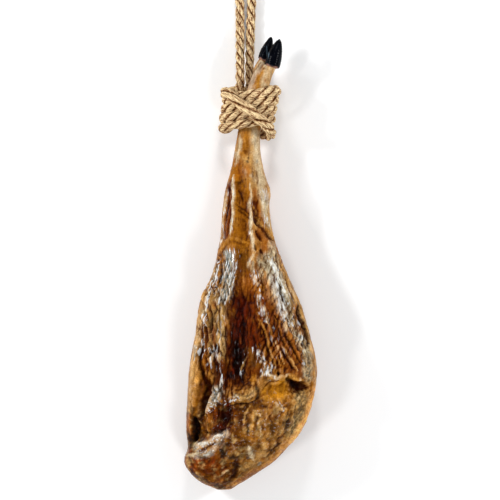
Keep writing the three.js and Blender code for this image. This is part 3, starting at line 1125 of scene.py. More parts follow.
    def _hollows(self, surface: Surface, relief: np.ndarray, lobe: np.ndarray) -> np.ndarray:
        """Return how much painted shade each hollow gets, less on the lobe, toes and lit flap."""
        toes = ZONES.toe_hollows.of(surface.places[:, 1])
        lit = LOOK.lit.of(distance_to_line(surface.flat, self.lit_line) / self.lit_reach)
        facing = LOOK.hidden_hollow + (1 - LOOK.hidden_hollow) * surface.shown
        calm = (1 - LOOK.lobe_calm * lobe) * (1 - LOOK.toe_calm * toes) * (1 - LOOK.lit_calm * lit)
        return LOOK.hollow.of(relief) * facing * calm

    def _stroked(
        self,
        surface: Surface,
        colours: np.ndarray,
        patchy: np.ndarray,
        streaky: np.ndarray,
        relief: np.ndarray,
        lobe: np.ndarray,
    ) -> tuple[np.ndarray, np.ndarray, np.ndarray]:
        """Lay the strokes over the base, with the clouds of the lower lobe between them.

        Args:
            surface: the ham's points before they were folded.
            colours: the base.
            patchy: the noise of its patches.
            streaky: the noise of its streaks.
            relief: how far each point stands out, in millimetres.
            lobe: how much each point belongs to the lower lobe.

        Returns:
            The colours, how wet each point is and how mouldy.
        """
        wet = np.full(len(colours), LOOK.wet)
        mould = np.full(len(colours), LOOK.mould)
        swell = 1 + LOOK.stroke_swell * np.clip(NOISES.stroke_swell.at(surface.places), -1, 1)
        ragged = LOOK.ragged_patches * patchy + LOOK.ragged_streaks * streaky
        broken = LOOK.broken.of(NOISES.breaks.at(surface.flow) + LOOK.broken_relief * relief)
        for number, stroke in enumerate(self.strokes):
            if number == self.fields:
                colours = self._clouded(colours, surface.places, patchy, lobe)
            fine = stroke.reach < self.thin
            away = distance_to_line(surface.flat, stroke.line, self.taper if fine else 0.0)
            cover = LOOK.stroke.of(away / (stroke.reach * swell) + ragged)
            cover *= stroke.strength * surface.shown
            if fine:
                pale = stroke.tone.value[1] > self.light_tone
                least = LOOK.least_light if pale else LOOK.least_dark
                cover *= least + (1 - least) * broken
            colours = self._blend(colours, stroke.tone, cover)
            if stroke.wet is not None:
                wet += (stroke.wet - wet) * cover
            if stroke.mould is not None:
                mould += (stroke.mould - mould) * cover
        return colours, wet, mould

    def _clouded(
        self, colours: np.ndarray, places: np.ndarray, patchy: np.ndarray, lobe: np.ndarray
    ) -> np.ndarray:
        """Cloud the lower lobe with olive, brown and grey."""
        for layers, values in ((LOOK.clouds, NOISES.clouds.at(places)), (LOOK.blotches, patchy)):
            for layer in layers:
                colours = self._blend(colours, layer.tone, layer.cover(values) * lobe)
        return colours

    def _glints(self, surface: Surface, patchy: np.ndarray, relief: np.ndarray) -> np.ndarray:
        """Return how much painted highlight and gloss each point gets, most on the crests and ragged by the
        patches.
        """
        glint = np.zeros(len(relief))
        for patch in self.glints:
            away = distance_to_line(surface.flat, patch.line) / patch.reach + LOOK.glint_patches * patchy
            glint = np.maximum(glint, LOOK.glint.of(away) * patch.strength)
        raised = 1 - LOOK.raised_share * (1 - LOOK.raised.of(relief))
        return glint * raised * surface.shown

    @staticmethod
    def _blend(colours: np.ndarray, tone: Tone, cover: np.ndarray) -> np.ndarray:
        """Return the colours with a tone laid over them by its cover."""
        return colours + (np.array(tone.value) - colours) * np.clip(cover, 0, 1)[:, None]


@dataclass(frozen=True)
class ClawStation:
    """A place along a claw's middle with its half width and half depth, in millimetres."""

    at: Place
    wide: float
    deep: float


@dataclass
class Claw:
    """One hoof claw, shaped from a sphere along its own bent middle."""

    node: str
    stations: tuple[ClawStation, ...]
    finish: bpy.types.Material
    sides: int = 56
    rings: int = 64
    blunt: float = 3.2
    fullness: float = 0.6
    sole: float = 0.86
    sole_edge: float = 0.1
    ring_rise: float = 0.16
    ring_pace: float = 95.0
    uneven: float = 0.3
    lumps: Lumps = Lumps(7.0, 2, 5.0)
    coronet: Fade = Fade(0.16, 0.06)
    coronet_wave: float = 0.03
    coronet_waves: int = 5

    def build(self) -> bpy.types.Object:
        """Shape the claw and put it in its node's place.

        Returns:
            The finished piece.
        """
        deselect_all()
        bpy.ops.mesh.primitive_uv_sphere_add(segments=self.sides, ring_count=self.rings, radius=1.0)
        obj = bpy.context.active_object
        obj.name = f"{self.node}_claw"
        unit = points_of(obj)
        share = np.arccos(np.clip(-unit[:, 2], -1, 1)) / math.pi
        keys = np.linspace(0, 1, len(self.stations))
        middle = np.array([s.at for s in self.stations])
        spine = np.stack([np.interp(share, keys, middle[:, k]) for k in range(3)], axis=1)
        wide = np.interp(share, keys, [s.wide for s in self.stations])
        deep = np.interp(share, keys, [s.deep for s in self.stations])
        along = middle[-1] - middle[0]
        along /= np.linalg.norm(along)
        across = np.cross(along, (0, 0, 1))
        across /= np.linalg.norm(across)
        up = np.cross(across, along)
        turn = np.arctan2(unit[:, 1], unit[:, 0])
        round_end = np.minimum(1, np.sin(share * math.pi) * self.blunt) ** self.fullness
        side = np.cos(turn) * wide * round_end
        height = np.sin(turn) * deep * round_end
        sole = self.sole + self.sole_edge * np.cos(turn) ** 2
        height = np.where(height < 0, height * sole, height)
        places = spine + side[:, None] * across + height[:, None] * up
        rings = self.ring_rise * np.sin(share * self.ring_pace) * round_end
        places += (np.cos(turn) * rings)[:, None] * across + (np.sin(turn) * rings)[:, None] * up
        bulge = self.uneven * self.lumps.at(places)
        places += (bulge * np.cos(turn))[:, None] * across
        move_points(obj, places * MM)
        wave = self.coronet_wave * np.sin(turn * self.coronet_waves)
        store_value(obj, "coronet", self.coronet.of(share + wave))
        select_only(obj)
        bpy.ops.object.mode_set(mode="EDIT")
        bpy.ops.mesh.select_all(action="SELECT")
        bpy.ops.mesh.normals_make_consistent(inside=False)
        bpy.ops.object.mode_set(mode="OBJECT")
        shade_smooth(obj)
        obj.data.materials.append(self.finish)
        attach(obj, ROOT)
        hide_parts(self.node)
        log.info("%s: %d points", obj.name, len(places))
        return obj


class Handing(Enum):
    """Which way a rope's strands turn as they run on."""

    LEFT = -1
    RIGHT = 1


@dataclass(frozen=True)
class RopeLay:
    """How three strands are laid into one rope."""

    diameter: float = 17 * MM
    strands: int = 3
    pitch: float = 63 * MM
    handing: Handing = Handing.LEFT
    sides: int = 36
    step: float = 1.5 * MM
    strand_share: float = 0.57
    grooves: Fade = Fade(0.97, 0.68)

    def outline(self) -> tuple[np.ndarray, np.ndarray]:
        """Find the rope's section.

        Returns:
            For each side, its distance from the middle and its groove from 0 to 1.
        """
        radius = self.diameter / 2
        strand = radius * self.strand_share
        offset = radius - strand
        turn = np.linspace(0, 2 * math.pi, self.sides, endpoint=False)
        third = 2 * math.pi / self.strands
        gap = np.abs((turn / third + 0.5) % 1 - 0.5) * third
        reach = offset * np.cos(gap) + np.sqrt(np.maximum(strand**2 - (offset * np.sin(gap)) ** 2, 0))
        return reach, self.grooves.of(reach / radius)


def smooth_route(points: list[Place], step: float, density: int = 24) -> np.ndarray:
    """Run a smooth curve through places and mark it off in even steps.

    Args:
        points: the places that it goes through.
        step: the length of a step.
        density: how many places the curve is found at from one point to the next.

    Returns:
        Rows of x, y and z.
    """
    place = np.array(points, dtype=float)
    place = np.vstack([2 * place[0] - place[1], place, 2 * place[-1] - place[-2]])
    knots = np.concatenate([[0], np.cumsum(np.linalg.norm(np.diff(place, axis=0), axis=1) ** 0.5)])
    dense = []
    for i in range(1, len(place) - 2):
        t = np.linspace(knots[i], knots[i + 1], density, endpoint=False)[:, None]
        t0, t1, t2, t3 = knots[i - 1 : i + 3]
        p0, p1, p2, p3 = place[i - 1 : i + 3]
        a1 = (t1 - t) / (t1 - t0) * p0 + (t - t0) / (t1 - t0) * p1
        a2 = (t2 - t) / (t2 - t1) * p1 + (t - t1) / (t2 - t1) * p2
        a3 = (t3 - t) / (t3 - t2) * p2 + (t - t2) / (t3 - t2) * p3
        b1 = (t2 - t) / (t2 - t0) * a1 + (t - t0) / (t2 - t0) * a2
        b2 = (t3 - t) / (t3 - t1) * a2 + (t - t1) / (t3 - t1) * a3
        dense.append((t2 - t) / (t2 - t1) * b1 + (t - t1) / (t2 - t1) * b2)
    curve = np.vstack([*dense, place[-2:-1]])
    reach = np.concatenate([[0], np.cumsum(np.linalg.norm(np.diff(curve, axis=0), axis=1))])
    marks = np.linspace(0, reach[-1], max(2, round(reach[-1] / step)))
    return np.stack([np.interp(marks, reach, curve[:, k]) for k in range(3)], axis=1)


@dataclass(frozen=True)
class LooseFibre:
    """How the loose fibres stand out of a rope, with their lengths in millimetres."""

    length: Range = (2.5, 6.5)
    thick: Range = (0.09, 0.17)
    lean: Range = (0.4, 1.0)
    slant: Range = (-0.5, 0.5)
    root: float = 0.41
    taper: float = 0.6
    lift: float = 0.55
    droop: float = 0.3
    clear: int = 4
    rings: int = 4
    sides: int = 3
    lowest: float = 0.4 * MM
    lay: Place = (0.004, 0.006, 0.01)


FIBRE = LooseFibre()


@dataclass
class LaidRope:
    """A three-strand rope along a route, with loose fibres standing out of it."""

    name: str
    node: str
    lay: RopeLay
    finish: bpy.types.Material
    seed: int
    fibres: int
    long_waves: Range = (0.035, 210.0)
    short_waves: Range = (0.02, 530.0)
    lay_share: float = 0.1

    def build(
        self, route: np.ndarray, swell: np.ndarray | None = None, pace: np.ndarray | None = None
    ) -> bpy.types.Object:
        """Lay the rope along its route and put it in its node's place.

        Args:
            route: even places along the rope's middle, in metres.
            swell: how plump the rope is at each, 1 where it is left out.
            pace: how fast the strands turn at each, 1 where it is left out.

        Returns:
            The finished piece.
        """
        along, side, other = self._frames(route)
        steps = np.linalg.norm(np.diff(route, axis=0), axis=1)
        reach = np.concatenate([[0], np.cumsum(steps)])
        run = reach if pace is None else np.concatenate([[0], np.cumsum(steps * pace[1:])])
        turn = self._turns(run, side, other)
        outline, groove = self.lay.outline()
        angle = turn[:, None] + np.linspace(0, 2 * math.pi, self.lay.sides, endpoint=False)[None, :]
        width = self._widths(reach)[:, None]
        if swell is not None:
            width = width * swell[:, None]
        across = np.cos(angle) * outline * width
        up = np.sin(angle) * outline * width
        places = route[:, None] + across[..., None] * side[:, None] + up[..., None] * other[:, None]
        places[..., 2] = np.maximum(places[..., 2], 0)
        rings, sides = across.shape
        verts = [tuple(p) for p in places.reshape(-1, 3)]
        faces = self._skin(rings, sides)
        fibre_verts, fibre_faces = self._fibres(route, along, side, other, len(verts))
        lays = np.stack([across.ravel(), up.ravel(), np.repeat(reach, sides) * self.lay_share], axis=1)
        fibre_lays = np.tile(FIBRE.lay, (len(fibre_verts), 1))
        mesh = bpy.data.meshes.new(self.name)
        mesh.from_pydata(verts + fibre_verts, [], faces + fibre_faces)
        obj = bpy.data.objects.new(self.name, mesh)
        bpy.context.scene.collection.objects.link(obj)
        store_value(obj, "groove", np.concatenate([np.tile(groove, rings), np.zeros(len(fibre_verts))]))
        store_vector(obj, "lay", np.vstack([lays, fibre_lays]))
        shade_smooth(obj)
        mesh.materials.append(self.finish)
        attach(obj, ROOT)
        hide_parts(self.node)
        log.info("%s: %.0f mm of rope, %d points", self.name, reach[-1] / MM, len(mesh.vertices))
        return obj

    @staticmethod
    def _frames(route: np.ndarray) -> tuple[np.ndarray, np.ndarray, np.ndarray]:
        """Carry a frame along the route without twisting it.

        Args:
            route: places along the rope's middle.

        Returns:
            The rope's direction and two directions across it, at each place.
        """
        along = np.gradient(route, axis=0)
        along /= np.linalg.norm(along, axis=1)[:, None]
        side = np.empty_like(along)
        start = np.array([0.0, 0.0, 1.0])
        side[0] = start - along[0] * (start @ along[0])
        side[0] /= np.linalg.norm(side[0])
        for i in range(1, len(route)):
            carried = side[i - 1] - along[i] * (side[i - 1] @ along[i])
            side[i] = carried / np.linalg.norm(carried)
        return along, side, np.cross(along, side)

    def _turns(self, run: np.ndarray, side: np.ndarray, other: np.ndarray) -> np.ndarray:
        """Find the strands' turn at each place, so that a strand is on top at both ends."""
        third = 2 * math.pi / self.lay.strands
        goal = math.atan2(other[-1][2], side[-1][2])
        whole = self.lay.handing.value * 2 * math.pi * run[-1] / self.lay.pitch
        total = goal + third * round((whole - goal) / third)
        return total * run / run[-1]

    def _widths(self, reach: np.ndarray) -> np.ndarray:
        """Return how wide the rope is at each place, 1 on the mean: it swells in waves."""
        (long_rise, long_pace), (short_rise, short_pace) = self.long_waves, self.short_waves
        waves = long_rise * np.sin(reach * long_pace + self.seed) + short_rise * np.sin(reach * short_pace)
        return 1 + waves

    @staticmethod
    def _skin(rings: int, sides: int) -> list[tuple[int, ...]]:
        """Return the faces of a tube with flat ends."""
        faces = []
        for low in range(0, (rings - 1) * sides, sides):
            for i in range(sides):
                after = (i + 1) % sides
                faces.append((low + i, low + after, low + sides + after, low + sides + i))
        faces.append(tuple(range(sides - 1, -1, -1)))
        faces.append(tuple(range((rings - 1) * sides, rings * sides)))
        return faces

    def _fibres(
        self, route: np.ndarray, along: np.ndarray, side: np.ndarray, other: np.ndarray, first: int
    ) -> tuple[list[Place], list[tuple[int, ...]]]:
        """Make loose fibres: short thin curved hairs that stand out of the rope.

        Args:
            route: places along the rope's middle.
            along: its direction at each.
            side: the first direction across it.
            other: the second.
            first: the number of their first place.

        Returns:
            Their places and their faces.
        """
        dice = random.Random(self.seed)
        verts: list[Place] = []
        faces: list[tuple[int, ...]] = []
        last = (FIBRE.rings - 1) * FIBRE.sides
        for _ in range(self.fibres):
            i = dice.randrange(FIBRE.clear, len(route) - FIBRE.clear)
            angle = dice.uniform(0, 2 * math.pi)
            out = math.cos(angle) * side[i] + math.sin(angle) * other[i]
            around = np.cross(along[i], out)
            root = route[i] + out * self.lay.diameter * FIBRE.root
            lean = along[i] * dice.choice((-1, 1)) * dice.uniform(*FIBRE.lean)
            lean = lean + around * dice.uniform(*FIBRE.slant)
            length = dice.uniform(*FIBRE.length) * MM
            thick = dice.uniform(*FIBRE.thick) * MM
            low = first + len(verts)
            for ring in range(FIBRE.rings):
                share = ring / (FIBRE.rings - 1)
                bow = FIBRE.lift * share - FIBRE.droop * share**2
                centre = root + lean * length * share + out * length * bow
                centre[2] = max(centre[2], FIBRE.lowest)
                for corner in range(FIBRE.sides):
                    spin = 2 * math.pi * corner / FIBRE.sides
                    spread = math.cos(spin) * around + math.sin(spin) * out
                    verts.append(tuple(centre + spread * thick * (1 - FIBRE.taper * share)))
            for ring in range(FIBRE.rings - 1):
                for corner in range(FIBRE.sides):
                    a = low + ring * FIBRE.sides + corner
                    b = low + ring * FIBRE.sides + (corner + 1) % FIBRE.sides
                    faces.append((a, b, b + FIBRE.sides, a + FIBRE.sides))
            faces.append(tuple(low + corner for corner in reversed(range(FIBRE.sides))))
            faces.append(tuple(low + last + corner for corner in range(FIBRE.sides)))
        return verts, faces


@dataclass
class Lashing:
    """The rope's turns round the shank, from one standing part of the loop to the other."""

    lay: RopeLay
    finish: bpy.types.Material
    turns: int = 4
    pitch: float = 16.8
    lowest: float = 243.0
    left: float = -50.0
    right: float = 33.0
    front: float = 30.0
    behind: float = -46.3
    plump: float = 1.22
    plump_in: Fade = Fade(0.1, 0.16)
    plump_out: Fade = Fade(0.92, 0.86)
    slack: float = 0.62
    slack_in: Fade = Fade(0.75, 0.78)
    slack_out: Fade = Fade(0.87, 0.84)
    turn_points: int = 12
    rise: Fade = Fade(0, 0.5)
    shank_height: float = 55.0
    shank_middle: Line = ((218.0, -4.5), (272.0, 4.5), (322.0, 14.5))

    def build(self) -> bpy.types.Object:
        """Lay the rope through the lashing.

        Returns:
            The finished piece.
        """
        rope = LaidRope("rope_turns", "rope_lashing", self.lay, self.finish, seed=7, fibres=520)
        points = [tuple(c * MM for c in p) for p in self._points()]
        route = smooth_route(points, self.lay.step)
        share = np.linspace(0, 1, len(route))
        swell = 1 + (self.plump - 1) * self.plump_in.of(share) * self.plump_out.of(share)
        pace = 1 - self.slack * self.slack_in.of(share) * self.slack_out.of(share)
        return rope.build(route, swell, pace)

    def _beside(self, across: float, up: float, along: float) -> Place:
        """Return the place beside the shank's middle at a place along it, in millimetres."""
        keys, middles = zip(*self.shank_middle)
        return (float(np.interp(along, keys, middles)) + across, along, self.shank_height + up)

    def _turn(self, number: int) -> list[Place]:
        """Return the points of one turn: it rises over the front and runs level behind."""
        points = []
        for i in range(self.turn_points):
            share = i / self.turn_points
            angle = 2 * math.pi * share
            left, front = -math.cos(angle), math.sin(angle)
            across = -left * self.left if left < 0 else left * self.right
            up = front * self.front if front > 0 else -front * self.behind
            rise = float(self.rise.of(np.array(share)))
            points.append(self._beside(across, up, self.lowest + (number + rise) * self.pitch))
        return points

    def _points(self) -> list[Place]:
        """Return the rope's route through the lashing, in millimetres."""
        points = [self._beside(*place) for place in LASHING_START]
        for number in range(self.turns):
            points += self._turn(number)
        return points + [self._beside(*place) for place in LASHING_END]


@dataclass
class HangingLoop:
    """The free loop that the ham hangs by, from one standing part to the other."""

    lay: RopeLay
    finish: bpy.types.Material
    path_points: int = 120

    def build(self) -> bpy.types.Object:
        """Returns:
            The finished piece.
        """
        points = [tuple(c * MM for c in p) for p in LOOP_ROUTE]
        route = smooth_route(points, self.lay.step)
        rope = LaidRope("rope_eye", "rope_loop", self.lay, self.finish, seed=11, fibres=260)
        obj = rope.build(route)
        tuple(points[0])
        return obj


@dataclass(frozen=True)
class SoftBox:
    """A square lamp that faces the ham, with its place in metres and its power in watts."""

    name: str
    place: Place
    power: float
    size: float = 0.36


@dataclass
class Studio:
    """The pale floor, the soft lights and the camera above the ham."""

    view_centre: tuple[float, float] = (-0.9, 22.95)
    view_height: float = 65.0
    view_size: float = 900.0
    distance: float = 4000.0
    sensor: float = 36.0
    far_clip: float = 50.0
    room_tone: Tint = (0.94, 0.97, 1.0, 1)
    room_light: float = 0.32
    floor_size: float = 8.0
    floor_drop: float = 0.5 * MM
    floor_tones: tuple[Tint, Tint] = ((0.93, 0.93, 0.93, 1), (0.96, 0.96, 0.96, 1))
    floor_roughness: float = 0.9
    boxes: tuple[SoftBox, ...] = (
        SoftBox("left_box", (-1.7, 0.7, 1.3), 29.0),
        SoftBox("right_box", (1.8, 0.4, 1.3), 24.0),
        SoftBox("low_box", (0.5, -1.7, 1.7), 12.0),
        SoftBox("low_left_box", (-1.3, -1.1, 1.7), 12.0),
        SoftBox("top_box", (0.0, 1.8, 1.7), 12.0),
    )

    def build(self) -> None:
        """Place the camera, the lights and the floor."""
        self._camera()
        self._lights()
        self._floor()

    def _camera(self) -> None:
        """Look straight down on the ham with a long lens."""
        data = bpy.data.cameras.new("camera")
        data.sensor_width = self.sensor
        data.lens = self.sensor * self.distance / self.view_size
        data.clip_end = self.far_clip
        camera = bpy.data.objects.new("camera", data)
        x, y = self.view_centre
        camera.location = (x * MM, y * MM, (self.view_height + self.distance) * MM)
        bpy.context.scene.collection.objects.link(camera)
        bpy.context.scene.camera = camera

    def _lights(self) -> None:
        """Hang the soft boxes round the ham and light the room evenly."""
        world = bpy.data.worlds.new("studio")
        world.use_nodes = True
        background = world.node_tree.nodes["Background"]
        background.inputs["Color"].default_value = self.room_tone
        background.inputs["Strength"].default_value = self.room_light
        bpy.context.scene.world = world
        for box in self.boxes:
            data = bpy.data.lights.new(box.name, "AREA")
            data.energy = box.power
            data.size = box.size
            lamp = bpy.data.objects.new(box.name, data)
            lamp.location = box.place
            lamp.rotation_euler = Vector(box.place).to_track_quat("Z", "Y").to_euler()
            bpy.context.scene.collection.objects.link(lamp)
        bpy.context.scene.view_settings.view_transform = "Standard"

    def _floor(self) -> None:
        """Lay a plain pale floor."""
        deselect_all()
        bpy.ops.mesh.primitive_plane_add(size=self.floor_size, location=(0, 0, -self.floor_drop))
        floor = bpy.context.active_object
        floor.name = "floor"
        material, tree, shader = new_material("pale_floor")
        place = tree.add("TexCoord").outputs["Object"]
        cloud = tree.add("TexNoise", {"Vector": place, "Scale": 3.0}).outputs["Fac"]
        tree.set(shader.inputs["Base Color"], tree.mix(cloud, *self.floor_tones))
        tree.set(shader.inputs["Roughness"], self.floor_roughness)
        floor.data.materials.append(material)


# The rope's route beside the shank: across it, up from its middle and along, in millimetres.
LASHING_START: tuple[Place, ...] = (
    (-33.1, -13, 322),
    (-33.1, -13, 300),
    (-33.1, -13, 268),
    (-38, -16, 246),
    (-46, -8, 241),
)
LASHING_END: tuple[Place, ...] = (
    (-57, -4, 307),
    (-51, 23, 303),
    (-31, 43, 289),
    (-8, 47.5, 273),
    (10, 47.5, 260),
    (27, 42, 247),
    (38, 25, 236.5),
    (39, 4, 230.5),
    (30, -15, 229.5),
    (14, -29, 239),
    (-6, -32, 251),
    (-15.6, -29, 268),
    (-15.6, -29, 300),
    (-15.6, -29, 322),
)

# The loop's route, in millimetres. It lies 9 mm above the floor where it has come down to it.
LOOP_ROUTE: tuple[Place, ...] = (
    (-18.6, 322, 41.6),
    (-18.8, 345, 38),
    (-19.0, 375, 26),
    (-19.1, 405, 14.5),
    (-19.2, 440, 9),
    (-19.6, 480, 9),
    (-24, 512, 9),
    (-37, 543, 9),
    (-45, 574, 9),
    (-37, 603, 9),
    (-9, 617, 9),
    (19, 603, 9),
    (27, 574, 9),
    (19, 543, 9),
    (6.4, 512, 9),
    (2.4, 480, 9),
    (0.8, 440, 9),
    (-0.4, 405, 11),
    (-1.4, 375, 17.5),
    (-1.8, 345, 24),
    (-1.1, 322, 25.8),
)

NEAR_CLAW: tuple[ClawStation, ...] = (
    ClawStation((37, 350, 63.5), 13.0, 14.8),
    ClawStation((39.5, 357, 64.5), 14.2, 16.3),
    ClawStation((42.5, 369, 66), 14.2, 15.8),
    ClawStation((46.5, 383, 67), 11.2, 12.8),
    ClawStation((50, 394, 67), 7.0, 8.3),
    ClawStation((52.6, 403, 66), 2.4, 3.0),
)
FAR_CLAW: tuple[ClawStation, ...] = (
    ClawStation((22, 364, 45), 9.4, 11.8),
    ClawStation((24.5, 371, 45), 10.6, 13.3),
    ClawStation((29, 383, 45), 10.8, 12.8),
    ClawStation((33.5, 395, 46), 7.8, 9.8),
    ClawStation((36.4, 404, 47), 4.4, 5.8),
    ClawStation((37.6, 409, 47.5), 1.6, 2.0),
)

# Lines of the ham that are folded and painted too, on its shown side, in millimetres; where a fold sinks,
# its dark stroke is partly painted shade in the crease.
SHANK_HOLLOW: Line = ((3, 102), (6, 90), (10, 79), (15, 68))
SHANK_GASH: Line = ((6, 80), (14, 69), (23, 58), (32, 47), (42, 37))
SHANK_FOLD: Line = ((9, 83), (17, 73), (26, 62), (35, 52), (44, 43))
UPPER_CUT: Line = ((-26, 104), (-14, 97), (-1, 86))
LOWER_CUT: Line = ((-23, 96), (-12, 88), (-1, 79))
SKIN_RIM: Line = (
    (-62, 8), (-58, 18), (-53, 28), (-48, 35), (-40, 43), (-31, 43), (-19, 41), (-8, 37), (-2, 33),
)
RIGHT_CLEFT: Line = ((50, -34), (55, -40), (55, -53), (58, -67), (60, -78))
LEFT_CLEFT: Line = ((-60, -146), (-64, -153), (-71, -157), (-77, -168))
CORD_1: Line = ((14, -96), (21, -112), (28, -130), (35, -157), (39, -175), (46, -193))
CORD_2: Line = ((28, -98), (33, -114), (40, -139), (46, -161), (49, -181))
CORD_3: Line = ((44, -134), (53, -161), (58, -180))
CORD_4: Line = ((56, -146), (62, -156), (71, -170), (84, -190))
CORD_5: Line = ((60, -100), (66, -114), (73, -139), (84, -161), (94, -180))
CORD_6: Line = ((44, -96), (51, -109), (58, -130), (66, -150))
GAP_1: Line = ((18, -114), (24, -130), (31, -157), (40, -179), (45, -191))
GAP_2: Line = ((42, -90), (48, -103), (55, -125), (61, -146))
GAP_3: Line = ((35, -134), (42, -150), (51, -174))
GAP_4: Line = ((62, -122), (67, -137), (78, -157), (90, -176))
GAP_5: Line = ((53, -150), (58, -161), (69, -177), (77, -188))
POCKET_LIP: Line = ((67, -197), (80, -203), (94, -211))
LOBE_GASH: Line = ((33, -270), (35, -279), (41, -284))
LOBE_EDGE: Line = ((-115, -347), (-102, -341), (-91, -338))

